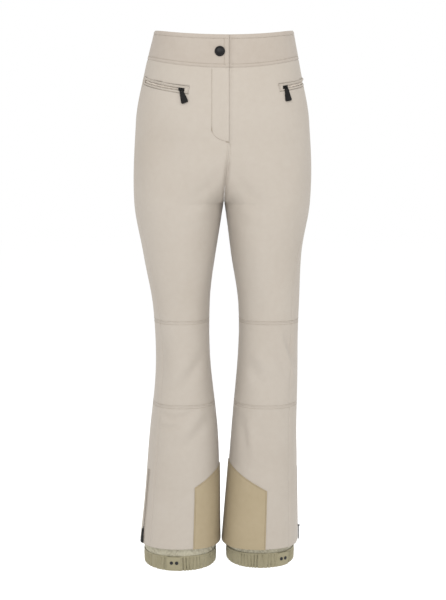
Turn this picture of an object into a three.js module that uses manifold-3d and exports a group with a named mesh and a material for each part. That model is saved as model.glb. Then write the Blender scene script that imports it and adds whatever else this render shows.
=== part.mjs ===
// Insulated ski trousers: waistband with a snap fly, welted zip pockets, shaped knees,
// flared legs with inner scuff guards, hem zips and inner snow gaiters.
// Millimetres, +Z up. The origin is the middle of the waist opening, the front faces -Y
// and the wearer's right side is at -X.
import * as THREE from 'three';
import { mergeVertices } from 'three/addons/utils/BufferGeometryUtils.js';
import Module from 'manifold-3d';

const wasm = await Module();
wasm.setup();

// ---------------------------------------------------------------- driving dimensions
// Heights down the garment.
const HIGH_HIP_Z = -80;
const HIP_Z = -180;
const CROTCH_Z = -336;
const THIGH_Z = -440;
const LOWER_THIGH_Z = -540;
const KNEE_Z = -655;
const CALF_Z = -800;
const HEM_Z = -1025;
const KNEE_PANEL_HALF = 84;

// Distance from the middle of the garment to the outer and inner edge of each leg.
const LEGS = {
  right: {
    sign: -1,
    waist: 137,
    highHip: 157,
    hip: 176,
    seat: 178,
    outer: { thigh: 161, lowerThigh: 144, knee: 138, calf: 149.5, hem: 171 },
    inner: { thigh: 17, lowerThigh: 29, knee: 27.5, calf: 12.5, hem: 8.5 },
    sideSeamHip: 170,
    pocket: { innerAngle: 117.5, outerAngle: 162, innerZ: -117, outerZ: -99, pullLean: 24 },
    guard: { frontAngle: 71, peakZ: -868, cornerZ: -901 },
    hemZipAngle: 156,
    tab: { innerAngle: 86, outerAngle: 108 },
    skirtShown: 16,
  },
  left: {
    sign: 1,
    waist: 137,
    highHip: 152,
    hip: 170,
    seat: 171,
    outer: { thigh: 155, lowerThigh: 150, knee: 149, calf: 147.5, hem: 151 },
    inner: { thigh: 15, lowerThigh: 28, knee: 27, calf: 15, hem: -3.5 },
    sideSeamHip: 200,
    pocket: { innerAngle: 132, outerAngle: 184, innerZ: -112, outerZ: -97, pullLean: 3 },
    guard: { frontAngle: 96, peakZ: -860, cornerZ: -907 },
    hemZipAngle: 176,
    tab: { innerAngle: 115, outerAngle: 138 },
    skirtShown: 10,
  },
};

// Depth of the garment in front of and behind its side line.
const FRONT_DEPTH = { waist: 98, highHip: 107, hip: 113, seat: 100, thigh: 90, lowerThigh: 80 };
const BACK_DEPTH = { waist: 98, highHip: 110, hip: 121, seat: 108, thigh: 94, lowerThigh: 82 };
const LOWER_LEG_DEPTH = { knee: 76, calf: 80, hem: 88 };
const SQUARENESS = 0.08;

// Fly and waistband.
const FLY_TOP_X = 9.5;
const FLY_BOTTOM_Z = -215;
const FLY_WIDTH = 33;
const FLY_CURVE_HEIGHT = 24;
const WAIST_FRONT_DIP = 12;
const WAIST_BACK_DIP = 3;
const BAND_SIDE_HEIGHT = 56;
const BAND_FRONT_EXTRA = 19;
const BAND_BACK_EXTRA = 2;
const BAND_THICKNESS = 3.5;
const TAB_THICKNESS = 2.6;
const PLACKET_THICKNESS = 2.2;
const UNDERLAP_DEPTH = 5.4;
const UNDERLAP_THICKNESS = 2.6;
const UNDERLAP_ANCHOR = 14;
const SHIELD_HALF = 14;
const SHIELD_GAP = 1;
const SHIELD_END = 10;
const SHIELD_THICKNESS = 1.6;
const FLY_ZIP_DEPTH = 8;

// Fabric.
const FABRIC = 2.2;
const SEAM_GAP = 0.6;
const CLEARANCE = 0.4;
const SIDE_SEAM_LEG = 135;
const GUARD_THICKNESS = 1.2;
const GUARD_BACK_ANGLE = -62;

// Zips.
const TAPE_HALF = 9;
const TAPE_THICKNESS = 0.8;
const COIL_HALF = 1.8;
const COIL_TOP = -1.3;
const TAPE_TOP = -6.2;
const SLIDER_HALF = 3;
const SLIDER_LENGTH = 11;
const SLIDER_TOP = 0.6;
const SLIDER_PLATE = 1.4;
const SLIDER_WALL = 0.8;
const RING_RADIUS = 2;
const RING_WIRE = 0.5;
const PULL_LENGTH = 27;
const PULL_TOP_HALF = 3.4;
const PULL_BOTTOM_HALF = 7.2;
const PULL_THICKNESS = 1.8;
const PULL_EYE = 1.7;
const PULL_STRIP = 1.3;
const FLY_PULL_LENGTH = 17;
const WELT_HALF = 7.2;
const WELT_DEPTH = 2.4;
const WELT_PROUD = 0.8;
const WELT_END = 9;
const BAG_DEPTH = 12;
const BAG_THICKNESS = 3;
const BAG_LENGTH = 150;
const HEM_ZIP_LENGTH = 155;
const HEM_ZIP_FOOT = 8;
const HEM_SLIDER_HEIGHT = 27;

// Snaps.
const WAIST_SNAP_RADIUS = 10;
const WAIST_SNAP_FROM_EDGE = 17.5;
const WAIST_SNAP_DROP = 32;
const SOCKET_BORE = 3.2;
const SOCKET_RADIUS = 6;
const SOCKET_HEIGHT = 1.6;
const STUD_RADIUS = 2.2;
const GAITER_SNAP_RADIUS = 3.5;
const GAITER_SNAP_PITCH = 11;

// Gaiters.
const SKIRT_INSET = 8.5;
const SKIRT_THICKNESS = 1.4;
const SKIRT_HIDDEN = 32;
const CUFF_HEIGHT = 26;
const CUFF_INSET = 8.6;
const CUFF_THICKNESS = 2.4;
const GAITER_TAB_LIFT = 2.4;
const GAITER_TAB_THICKNESS = 1.2;

// ---------------------------------------------------------------- materials
const finish = (color, roughness, metalness) =>
  new THREE.MeshStandardMaterial({ color, roughness, metalness });
const SHELL = () => finish(0xcbc0b3, 0.85, 0);
const BAND = () => finish(0xc5b8ab, 0.85, 0);
const GUARD = () => finish(0xa89a7f, 0.8, 0);
const LINING = () => finish(0xb9ae9f, 0.9, 0);
const GAITER = () => finish(0x9a9178, 0.7, 0);
const ELASTIC = () => finish(0x918970, 0.8, 0);
const SNAP = () => finish(0x0f0e0f, 0.25, 0.6);
const ZIP = () => finish(0xa99e90, 0.7, 0);
const SLIDER = () => finish(0x26241f, 0.4, 0.7);
const PULL = () => finish(0x1e1c17, 0.6, 0);
const GUNMETAL = () => finish(0x3a3a3b, 0.35, 0.9);

// ---------------------------------------------------------------- the body's surface
const radians = THREE.MathUtils.degToRad;
const lerp = THREE.MathUtils.lerp;

// Smooth curve through stations of [height, value], held level past both ends.
function through(stations, z) {
  const last = stations.length - 1;
  if (z >= stations[0][0]) return stations[0][1];
  if (z <= stations[last][0]) return stations[last][1];
  const i = stations.findIndex((station) => station[0] < z) - 1;
  const slope = (k) => {
    const low = Math.max(k - 1, 0);
    const high = Math.min(k + 1, last);
    return (stations[high][1] - stations[low][1]) / (stations[high][0] - stations[low][0]);
  };
  const span = stations[i + 1][0] - stations[i][0];
  const t = (z - stations[i][0]) / span;
  const start = stations[i][1] * (1 + 2 * t) * (1 - t) ** 2 + slope(i) * span * t * (1 - t) ** 2;
  const end = stations[i + 1][1] * t * t * (3 - 2 * t) - slope(i + 1) * span * t * t * (1 - t);
  return start + end;
}

const legHeights = [
  ['thigh', THIGH_Z],
  ['lowerThigh', LOWER_THIGH_Z],
  ['knee', KNEE_Z],
  ['calf', CALF_Z],
  ['hem', HEM_Z],
];

const legStations = (values) => legHeights.map(([name, z]) => [z, values[name]]);

const torsoStations = (values) => [
  [0, values.waist],
  [HIGH_HIP_Z, values.highHip],
  [HIP_Z, values.hip],
  [CROTCH_Z, values.seat],
];

for (const leg of Object.values(LEGS)) {
  leg.outerLine = [...torsoStations(leg), ...legStations(leg.outer)];
  leg.innerLine = [[CROTCH_Z, SEAM_GAP], ...legStations(leg.inner)];
}
const FRONT_LINE = [...torsoStations(FRONT_DEPTH), ...legStations({ ...FRONT_DEPTH, ...LOWER_LEG_DEPTH })];
const BACK_LINE = [...torsoStations(BACK_DEPTH), ...legStations({ ...BACK_DEPTH, ...LOWER_LEG_DEPTH })];

// The middle seam leans from the fly to the crotch.
function middleX(z) {
  return FLY_TOP_X * THREE.MathUtils.smoothstep(z, CROTCH_Z, FLY_BOTTOM_Z);
}

// Centre and half width of one leg's oval at a height. Above the crotch the two ovals merge.
function oval(leg, z) {
  const outer = through(leg.outerLine, z);
  if (z <= CROTCH_Z) {
    const inner = through(leg.innerLine, z);
    return { centre: (outer + inner) / 2, half: (outer - inner) / 2 };
  }
  const parting = THREE.MathUtils.clamp((FLY_BOTTOM_Z - z) / (FLY_BOTTOM_Z - CROTCH_Z), 0, 1) ** 1.5;
  const half = (outer - leg.sign * middleX(z)) / (1 + parting);
  return { centre: parting * half, half };
}

// Point on the garment: angle 0 is the inseam, 90 the front, 180 the outside, 270 the back.
function surface(leg, degrees, z, out = 0) {
  const { centre, half } = oval(leg, z);
  const angle = radians(degrees);
  const cos = Math.cos(angle);
  const sin = Math.sin(angle);
  const depth = through(sin > 0 ? FRONT_LINE : BACK_LINE, z);
  const across = cos * (1 + SQUARENESS * sin * sin);
  const along = sin * (1 + SQUARENESS * cos * cos);
  const acrossRate = -sin * (1 + SQUARENESS * sin * sin) + 2 * SQUARENESS * sin * cos * cos;
  const alongRate = cos * (1 + SQUARENESS * cos * cos) - 2 * SQUARENESS * cos * sin * sin;
  const normal = new THREE.Vector2(-leg.sign * depth * alongRate, half * acrossRate).normalize();
  return new THREE.Vector3(
    middleX(z) + leg.sign * (centre - half * across) + normal.x * out,
    -depth * along + normal.y * out,
    z,
  );
}

// Angle at which the surface is a given distance outside the middle seam.
function angleAt(leg, distance, z) {
  const { centre, half } = oval(leg, z);
  let low = 0;
  let high = 180;
  for (let step = 0; step < 40; step += 1) {
    const angle = radians((low + high) / 2);
    const across = Math.cos(angle) * (1 + SQUARENESS * Math.sin(angle) ** 2);
    if (centre - half * across < distance) low = (low + high) / 2;
    else high = (low + high) / 2;
  }
  return (low + high) / 2;
}

// Outward frame on the surface: across the front (side), up the cloth, and out of it.
function frameOn(leg, degrees, z, out = 0) {
  const origin = surface(leg, degrees, z, out);
  const up = surface(leg, degrees, z + 1, out).sub(surface(leg, degrees, z - 1, out)).normalize();
  const away = surface(leg, degrees, z, out + 1).sub(origin);
  const side = new THREE.Vector3().crossVectors(up, away).normalize();
  const normal = new THREE.Vector3().crossVectors(side, up).normalize();
  return { origin, side, up, out: normal };
}

// ---------------------------------------------------------------- solid builders
// Closed body from an outer and an inner grid of points, with walls round its edges.
function slab(outer, inner, ring = false) {
  const rows = outer.length;
  const columns = outer[0].length;
  const points = [...outer.flat(), ...inner.flat()];
  const faces = [];
  const quad = (a, b, c, d) => faces.push(a, b, c, a, c, d);
  const at = (row, column, layer) => layer * rows * columns + row * columns + (column % columns);
  const spans = ring ? columns : columns - 1;
  for (let row = 0; row < rows - 1; row += 1) {
    for (let column = 0; column < spans; column += 1) {
      quad(at(row, column, 0), at(row, column + 1, 0), at(row + 1, column + 1, 0), at(row + 1, column, 0));
      quad(at(row + 1, column, 1), at(row + 1, column + 1, 1), at(row, column + 1, 1), at(row, column, 1));
    }
    if (!ring) {
      const end = columns - 1;
      quad(at(row, 0, 1), at(row, 0, 0), at(row + 1, 0, 0), at(row + 1, 0, 1));
      quad(at(row, end, 0), at(row, end, 1), at(row + 1, end, 1), at(row + 1, end, 0));
    }
  }
  for (let column = 0; column < spans; column += 1) {
    const foot = rows - 1;
    quad(at(0, column, 1), at(0, column + 1, 1), at(0, column + 1, 0), at(0, column, 0));
    quad(at(foot, column, 0), at(foot, column + 1, 0), at(foot, column + 1, 1), at(foot, column, 1));
  }
  return outwards(points, faces);
}

// Turns the faces out if the body was wound inside out.
function outwards(points, faces) {
  let volume = 0;
  for (let i = 0; i < faces.length; i += 3) {
    const [a, b, c] = [points[faces[i]], points[faces[i + 1]], points[faces[i + 2]]];
    volume += a.dot(new THREE.Vector3().crossVectors(b, c));
  }
  const index = volume > 0 ? faces : faces.slice().reverse();
  const geometry = new THREE.BufferGeometry().setFromPoints(points);
  geometry.setIndex(index);
  return geometry;
}

// Closed body swept from a flat outline of [up, out] points through a list of frames.
function sweep(outline, frames) {
  const points = frames.flatMap((frame) =>
    outline.map(([up, out]) =>
      frame.origin.clone().addScaledVector(frame.up, up).addScaledVector(frame.out, out)));
  const count = outline.length;
  const faces = [];
  for (let i = 0; i < frames.length - 1; i += 1) {
    for (let k = 0; k < count; k += 1) {
      const next = (k + 1) % count;
      const a = i * count + k;
      const b = i * count + next;
      faces.push(a, b, b + count, a, b + count, a + count);
    }
  }
  const flat = outline.map(([up, out]) => new THREE.Vector2(up, out));
  const end = (frames.length - 1) * count;
  for (const [a, b, c] of THREE.ShapeUtils.triangulateShape(flat, [])) {
    const anticlockwise = !THREE.ShapeUtils.isClockWise(flat);
    if (anticlockwise) faces.push(c, b, a, end + a, end + b, end + c);
    else faces.push(a, b, c, end + c, end + b, end + a);
  }
  return outwards(points, faces);
}

function solid(geometry) {
  const bare = geometry.clone();
  bare.deleteAttribute('normal');
  bare.deleteAttribute('uv');
  const merged = mergeVertices(bare, 1e-4);
  return new wasm.Manifold(new wasm.Mesh({
    numProp: 3,
    vertProperties: new Float32Array(merged.attributes.position.array),
    triVerts: new Uint32Array(merged.index.array),
  }));
}

function unsolid(manifold) {
  const mesh = manifold.getMesh();
  const geometry = new THREE.BufferGeometry();
  geometry.setAttribute('position', new THREE.BufferAttribute(new Float32Array(mesh.vertProperties), 3));
  geometry.setIndex([...mesh.triVerts]);
  return geometry;
}

const cut = (geometry, ...cutters) =>
  unsolid(cutters.reduce((body, cutter) => body.subtract(solid(cutter)), solid(geometry)));
const join = (...geometries) =>
  unsolid(geometries.map(solid).reduce((body, other) => body.add(other)));

// Cloth patch between two angles and two heights, outer face at `out`, `thickness` deep.
function patch(leg, shape) {
  const { top, levels, from, to, columns, out = () => 0, thickness } = shape;
  const grid = (depth) => levels.map((level, row) => {
    const fade = Math.max(0, 1 - row / 3);
    return Array.from({ length: columns + 1 }, (_, column) => {
      const share = column / columns;
      const rough = lerp(from(level), to(level), share);
      const z = level + (top ? fade * (top(rough) - levels[0]) : 0);
      const angle = lerp(from(z), to(z), share);
      return surface(leg, angle, z, out(share, z) - depth);
    });
  });
  return slab(grid(0), grid(thickness));
}

const evenly = (from, to, steps) => Array.from({ length: steps + 1 }, (_, i) => lerp(from, to, i / steps));

// ---------------------------------------------------------------- seams
const frontShare = (angle) => Math.max(0, Math.sin(radians(angle))) ** 2;
const backShare = (angle) => Math.max(0, -Math.sin(radians(angle))) ** 2;
const bandTop = (angle) => -WAIST_FRONT_DIP * frontShare(angle) - WAIST_BACK_DIP * backShare(angle);
const bandFoot = (angle) =>
  -BAND_SIDE_HEIGHT - BAND_FRONT_EXTRA * frontShare(angle) - BAND_BACK_EXTRA * backShare(angle);

function startAngle(leg, z) {
  if (z > CROTCH_Z) return angleAt(leg, SEAM_GAP / 2, z);
  return THREE.MathUtils.radToDeg(SEAM_GAP / 2 / through(FRONT_LINE, z));
}

const seamGapAngle = THREE.MathUtils.radToDeg(SEAM_GAP / 2 / LEGS.right.outer.knee) * 2;

function sideSeam(leg, z) {
  const share = THREE.MathUtils.smoothstep(z, LOWER_THIGH_Z, HIP_Z);
  return lerp(SIDE_SEAM_LEG, leg.sideSeamHip, share);
}

// Right edge of the right front panel: the J-shaped stitch line that holds the fly.
function flyLine(leg, z) {
  const curve = THREE.MathUtils.clamp((z - FLY_BOTTOM_Z) / FLY_CURVE_HEIGHT, 0, 1);
  const reach = FLY_WIDTH * Math.sqrt(1 - (1 - curve) ** 2);
  return angleAt(leg, Math.max(reach, SEAM_GAP / 2), z);
}

const kneeTop = KNEE_Z + KNEE_PANEL_HALF;
const kneeFoot = KNEE_Z - KNEE_PANEL_HALF;
const bandMiddle = -BAND_SIDE_HEIGHT - BAND_FRONT_EXTRA / 2;
const flyLevels = [
  ...evenly(bandMiddle - SEAM_GAP, FLY_BOTTOM_Z + FLY_CURVE_HEIGHT, 4),
  ...[22, 45, 65, 80].map((turn) => FLY_BOTTOM_Z + FLY_CURVE_HEIGHT * (1 - Math.sin(radians(turn)))),
];
const crotchLevels = evenly(0, 1, 5).map((t) =>
  CROTCH_Z + (FLY_BOTTOM_Z - CROTCH_Z) * (1 - Math.sin((t * Math.PI) / 2)));
const thighLevels = evenly(CROTCH_Z, kneeTop + SEAM_GAP / 2, 5).slice(1);
const flyPanelLevels = [...flyLevels, ...crotchLevels, ...thighLevels];
const panelLevels = [
  ...evenly(bandMiddle - SEAM_GAP, FLY_BOTTOM_Z, 6).slice(0, -1),
  ...crotchLevels,
  ...thighLevels,
];
const kneeLevels = evenly(kneeTop - SEAM_GAP / 2, kneeFoot + SEAM_GAP / 2, 4);
const shinLevels = evenly(kneeFoot - SEAM_GAP / 2, HEM_Z, 6);
const underBand = (angle) => bandFoot(angle) - SEAM_GAP;

// ---------------------------------------------------------------- leg panels
function frontPanel(leg) {
  const fly = leg === LEGS.right;
  const from = (z) => {
    if (!fly || z <= FLY_BOTTOM_Z) return startAngle(leg, z);
    return flyLine(leg, z) + seamGapAngle;
  };
  return patch(leg, {
    top: underBand,
    levels: fly ? flyPanelLevels : panelLevels,
    from,
    to: (z) => sideSeam(leg, z) - seamGapAngle,
    columns: 9,
    thickness: FABRIC,
  });
}

function backPanel(leg) {
  return patch(leg, {
    top: underBand,
    levels: panelLevels,
    from: (z) => sideSeam(leg, z),
    to: (z) => 360 - startAngle(leg, z),
    columns: 13,
    thickness: FABRIC,
  });
}

function frontLegPanel(leg, levels) {
  return patch(leg, {
    levels,
    from: (z) => startAngle(leg, z),
    to: () => SIDE_SEAM_LEG - seamGapAngle,
    columns: 9,
    thickness: FABRIC,
  });
}

function backLegPanel(leg, levels) {
  return patch(leg, {
    levels,
    from: () => SIDE_SEAM_LEG,
    to: (z) => 360 - startAngle(leg, z),
    columns: 12,
    thickness: FABRIC,
  });
}

// Scuff guard on the inside of the hem, sewn over both shin panels, with a sloping top edge.
function scuffGuard(leg) {
  const { frontAngle, peakZ, cornerZ } = leg.guard;
  const rows = 6;
  const columns = 18;
  const lift = GUARD_THICKNESS + CLEARANCE;
  const reach = (angle) => 1 - Math.cos(radians(angle));
  const grid = (out) => evenly(0, 1, rows).map((down) =>
    evenly(GUARD_BACK_ANGLE, frontAngle, columns).map((angle) => {
      const edge = angle > 0 ? frontAngle : GUARD_BACK_ANGLE;
      const top = lerp(peakZ, cornerZ, reach(angle) / reach(edge));
      return surface(leg, angle, lerp(top, HEM_Z, down), out);
    }));
  return slab(grid(lift), grid(CLEARANCE));
}

// ---------------------------------------------------------------- waistband and fly
function bandPiece(leg, from, to, columns, thickness, out = () => 0) {
  const grid = (depth) => evenly(0, 1, 3).map((down) =>
    evenly(from, to, columns).map((angle, column) =>
      surface(leg, angle, lerp(bandTop(angle), bandFoot(angle), down), out(column / columns) - depth)));
  return slab(grid(0), grid(thickness));
}

const flyHingeAngle = (z) => angleAt(LEGS.right, FLY_WIDTH, z);
const bandHinge = flyHingeAngle(bandMiddle);
const bandMiddleAngle = (leg) => angleAt(leg, SEAM_GAP / 2, bandMiddle);

const rightBand = () => bandPiece(LEGS.right, bandHinge + seamGapAngle, 180, 8, BAND_THICKNESS);

// The left band runs on behind the tab as an underlap that carries the snap's stud.
function leftBand() {
  const band = bandPiece(LEGS.left, bandMiddleAngle(LEGS.left), 180, 9, BAND_THICKNESS);
  const anchor = angleAt(LEGS.left, UNDERLAP_ANCHOR, bandMiddle);
  const root = bandPiece(LEGS.left, bandMiddleAngle(LEGS.left), anchor, 3,
    UNDERLAP_DEPTH + UNDERLAP_THICKNESS - BAND_THICKNESS + 1, () => 1 - BAND_THICKNESS);
  const lap = bandPiece(LEGS.right, bandMiddleAngle(LEGS.right) - 1, bandHinge - 1, 4,
    UNDERLAP_THICKNESS, () => -UNDERLAP_DEPTH);
  return join(band, root, lap);
}

function backBand() {
  const grid = (depth) => evenly(0, 1, 3).map((down) => {
    const row = [];
    for (const leg of [LEGS.right, LEGS.left]) {
      const angles = evenly(180 + seamGapAngle, 270, 8);
      if (leg === LEGS.left) angles.reverse();
      for (const angle of angles) {
        row.push(surface(leg, angle, lerp(bandTop(angle), bandFoot(angle), down), -depth));
      }
      if (leg === LEGS.right) row.pop();
    }
    return row;
  });
  return slab(grid(0), grid(BAND_THICKNESS));
}

const waistTab = () => bandPiece(LEGS.right, bandMiddleAngle(LEGS.right), bandHinge, 4, TAB_THICKNESS);

function placket() {
  const leg = LEGS.right;
  return patch(leg, {
    top: underBand,
    levels: flyLevels,
    from: (z) => angleAt(leg, SEAM_GAP / 2, z),
    to: (z) => flyLine(leg, z),
    columns: 4,
    thickness: PLACKET_THICKNESS,
  });
}

// ---------------------------------------------------------------- zips
const tapeOutline = [
  [-TAPE_HALF, TAPE_TOP - TAPE_THICKNESS],
  [TAPE_HALF, TAPE_TOP - TAPE_THICKNESS],
  [TAPE_HALF, TAPE_TOP],
  [COIL_HALF, TAPE_TOP],
  [COIL_HALF, COIL_TOP],
  [-COIL_HALF, COIL_TOP],
  [-COIL_HALF, TAPE_TOP],
  [-TAPE_HALF, TAPE_TOP],
];

const sliderInner = SLIDER_HALF - SLIDER_WALL;
const sliderOutline = [
  [-SLIDER_HALF, TAPE_TOP + 3],
  [-sliderInner, TAPE_TOP + 3],
  [-sliderInner, SLIDER_TOP - SLIDER_PLATE],
  [sliderInner, SLIDER_TOP - SLIDER_PLATE],
  [sliderInner, TAPE_TOP + 3],
  [SLIDER_HALF, TAPE_TOP + 3],
  [SLIDER_HALF, SLIDER_TOP],
  [-SLIDER_HALF, SLIDER_TOP],
];

// Straight frames from one point to another, with the given outward direction.
function straightFrames(start, end, out) {
  const along = end.clone().sub(start).normalize();
  const up = new THREE.Vector3().crossVectors(out, along).normalize();
  const square = new THREE.Vector3().crossVectors(along, up).normalize();
  return [start, end].map((origin) => ({ origin, up, out: square, along }));
}

// Circle through three points, read as frames along the arc.
function arcThrough(a, b, c) {
  const ab = b.clone().sub(a);
  const ac = c.clone().sub(a);
  const axis = new THREE.Vector3().crossVectors(ab, ac);
  const scale = 2 * axis.lengthSq();
  const toCentre = new THREE.Vector3().crossVectors(axis, ab).multiplyScalar(ac.lengthSq())
    .add(new THREE.Vector3().crossVectors(ac, axis).multiplyScalar(ab.lengthSq()))
    .divideScalar(scale);
  const centre = a.clone().add(toCentre);
  const up = axis.normalize();
  if (up.z < 0) up.negate();
  const radius = toCentre.length();
  const first = a.clone().sub(centre).normalize();
  const turn = first.angleTo(c.clone().sub(centre));
  const way = Math.sign(new THREE.Vector3().crossVectors(first, c.clone().sub(centre)).dot(up));
  const frame = (distance) => {
    const out = first.clone().applyAxisAngle(up, (way * distance) / radius);
    const along = new THREE.Vector3().crossVectors(up, out).multiplyScalar(way);
    return { origin: centre.clone().addScaledVector(out, radius), up, out, along };
  };
  return { centre, axis: up, radius, way, length: radius * turn, frame };
}

function pocketArc(leg) {
  const { innerAngle, outerAngle, innerZ, outerZ } = leg.pocket;
  return arcThrough(
    surface(leg, innerAngle, innerZ),
    surface(leg, (innerAngle + outerAngle) / 2, (innerZ + outerZ) / 2),
    surface(leg, outerAngle, outerZ),
  );
}

const arcFrames = (arc, from, to, steps) => evenly(from, to, steps).map(arc.frame);
const bar = (low, high, bottom, top) => [[low, bottom], [high, bottom], [high, top], [low, top]];

// Frame of two cloth lips round the zip.
function pocketWelt(leg) {
  const arc = pocketArc(leg);
  const slot = SLIDER_HALF + CLEARANCE;
  const block = sweep(bar(-WELT_HALF, WELT_HALF, -WELT_DEPTH, WELT_PROUD),
    arcFrames(arc, -WELT_END, arc.length + WELT_END, 12));
  const hole = sweep(bar(-slot, slot, -WELT_DEPTH - 1, WELT_PROUD + 1),
    arcFrames(arc, -1, arc.length + 1, 12));
  return cut(block, hole);
}

// Opening in the front panel for the welt, with room for the zip's tape behind it.
function pocketSlot(leg) {
  const arc = pocketArc(leg);
  const margin = WELT_HALF + CLEARANCE;
  const end = WELT_END + CLEARANCE;
  const opening = sweep(bar(-margin, margin, -8, 6), arcFrames(arc, -end, arc.length + end, 12));
  const room = TAPE_HALF + CLEARANCE;
  const under = TAPE_TOP - TAPE_THICKNESS - CLEARANCE;
  const tapeRoom = sweep(bar(-room, room, under, TAPE_TOP + CLEARANCE), arcFrames(arc, -1, arc.length + 1, 12));
  return join(opening, tapeRoom);
}

const pocketZip = (leg) => {
  const arc = pocketArc(leg);
  return sweep(tapeOutline, arcFrames(arc, -0.5, arc.length + 0.5, 12));
};

// Slider: a channel over the coil with a wire ring that holds its pull.
function slider(frames, pivot) {
  const channel = sweep(sliderOutline, frames);
  const ring = new THREE.TorusGeometry(RING_RADIUS, RING_WIRE, 6, 14);
  ring.applyMatrix4(new THREE.Matrix4().makeBasis(pivot.out, pivot.down, pivot.side));
  ring.translate(...pivot.origin.toArray());
  return join(channel, ring);
}

// Pull tab that widens downwards, with an eye at its top edge for the slider's ring.
function pull(pivot, length) {
  const top = PULL_STRIP / 2;
  const shape = new THREE.Shape();
  shape.moveTo(-PULL_TOP_HALF + 1.5, top);
  shape.lineTo(PULL_TOP_HALF - 1.5, top);
  shape.lineTo(PULL_TOP_HALF, top - 1.5);
  shape.lineTo(PULL_BOTTOM_HALF, 2 - length);
  shape.lineTo(PULL_BOTTOM_HALF - 2, -length);
  shape.lineTo(2 - PULL_BOTTOM_HALF, -length);
  shape.lineTo(-PULL_BOTTOM_HALF, 2 - length);
  shape.lineTo(-PULL_TOP_HALF, top - 1.5);
  const eye = new THREE.Path();
  eye.absarc(0, -top - PULL_EYE, PULL_EYE, 0, Math.PI * 2);
  shape.holes.push(eye);
  const plate = new THREE.ExtrudeGeometry(shape, {
    depth: PULL_THICKNESS,
    bevelEnabled: false,
    curveSegments: 5,
  });
  plate.translate(0, 0, -PULL_THICKNESS / 2);
  const up = pivot.down.clone().negate();
  plate.applyMatrix4(new THREE.Matrix4().makeBasis(pivot.side, up, pivot.out));
  plate.translate(...pivot.origin.toArray());
  return plate;
}

// Where a pull hangs: at the ring's middle, down the cloth, leaning by an angle in its plane.
function pivotOn(frame, leg, degrees, lean) {
  const ground = frameOn(leg, degrees, frame.origin.z);
  const out = ground.out;
  const down = ground.up.clone().negate().applyAxisAngle(out, radians(lean));
  const side = new THREE.Vector3().crossVectors(down.clone().negate(), out);
  const height = SLIDER_TOP + RING_RADIUS - RING_WIRE;
  const origin = frame.origin.clone().addScaledVector(frame.out, height);
  return { origin, out, down, side };
}

function pocketSlider(leg) {
  const arc = pocketArc(leg);
  const frames = arcFrames(arc, 0.5, SLIDER_LENGTH + 0.5, 3);
  const middle = arc.frame(SLIDER_LENGTH / 2 + 0.5);
  const pivot = pivotOn(middle, leg, leg.pocket.innerAngle, leg.pocket.pullLean);
  return { arc, frames, pivot };
}

// Pocket bag: a flat cloth pouch that hangs inside the front panel under the zip.
function pocketBag(leg) {
  const { innerAngle, outerAngle, innerZ } = leg.pocket;
  const top = innerZ + 10;
  return patch(leg, {
    levels: evenly(top, top - BAG_LENGTH, 5),
    from: () => innerAngle - 4,
    to: () => outerAngle - 2,
    columns: 6,
    out: () => -BAG_DEPTH,
    thickness: BAG_THICKNESS,
  });
}

// ---------------------------------------------------------------- hem zips
function hemZipLine(leg) {
  const foot = surface(leg, leg.hemZipAngle, HEM_Z + HEM_ZIP_FOOT);
  const head = surface(leg, leg.hemZipAngle, HEM_Z + HEM_ZIP_LENGTH);
  const out = frameOn(leg, leg.hemZipAngle, HEM_Z + HEM_ZIP_LENGTH / 2).out;
  const lift = surface(leg, leg.hemZipAngle, HEM_Z + HEM_ZIP_LENGTH / 2).sub(foot.clone().lerp(head, 0.5));
  return { foot: foot.add(lift), head: head.add(lift), out };
}

const along = (line, from, to) => {
  const way = line.head.clone().sub(line.foot).normalize();
  const start = line.foot.clone().addScaledVector(way, from);
  const end = line.foot.clone().addScaledVector(way, to);
  return straightFrames(start, end, line.out);
};

const lineLength = (line) => line.head.distanceTo(line.foot);
const hemZip = (leg) => sweep(tapeOutline, along(hemZipLine(leg), 0, lineLength(hemZipLine(leg))));

function hemSlot(leg) {
  const line = hemZipLine(leg);
  const half = SLIDER_HALF + CLEARANCE;
  return sweep(bar(-half, half, -8, 6), along(line, -1, lineLength(line) + 1));
}

function hemSlider(leg) {
  const line = hemZipLine(leg);
  const start = HEM_SLIDER_HEIGHT - HEM_ZIP_FOOT;
  const frames = along(line, start, start + SLIDER_LENGTH);
  const middle = along(line, start + SLIDER_LENGTH / 2, start + SLIDER_LENGTH)[0];
  return { frames, pivot: pivotOn(middle, leg, leg.hemZipAngle, 0) };
}

// ---------------------------------------------------------------- fly zip
function flyZipLine() {
  const leg = LEGS.right;
  const angleAtMiddle = (z) => angleAt(leg, SEAM_GAP / 2 + TAPE_HALF, z);
  const headZ = bandFoot(90) - 8;
  const footZ = FLY_BOTTOM_Z + 9;
  const foot = surface(leg, angleAtMiddle(footZ), footZ, -FLY_ZIP_DEPTH);
  const head = surface(leg, angleAtMiddle(headZ), headZ, -FLY_ZIP_DEPTH);
  return { foot, head, out: frameOn(leg, angleAtMiddle((headZ + footZ) / 2), (headZ + footZ) / 2).out };
}

// Cloth strip behind the fly zip, level with it and a little longer.
function flyShield() {
  const line = flyZipLine();
  const top = TAPE_TOP - TAPE_THICKNESS - SHIELD_GAP;
  const outline = bar(-SHIELD_HALF, SHIELD_HALF, top - SHIELD_THICKNESS, top);
  return sweep(outline, along(line, -SHIELD_END / 2, lineLength(line) + SHIELD_END));
}

function flySlider() {
  const line = flyZipLine();
  const end = lineLength(line) - 3;
  const frames = along(line, end - SLIDER_LENGTH, end);
  const middle = along(line, end - SLIDER_LENGTH / 2, end)[0];
  const down = frames[0].along.clone().negate();
  const side = new THREE.Vector3().crossVectors(down.clone().negate(), middle.out);
  const origin = middle.origin.clone().addScaledVector(middle.out, SLIDER_TOP + RING_RADIUS - RING_WIRE);
  return { frames, pivot: { origin, out: middle.out, down, side } };
}

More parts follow.
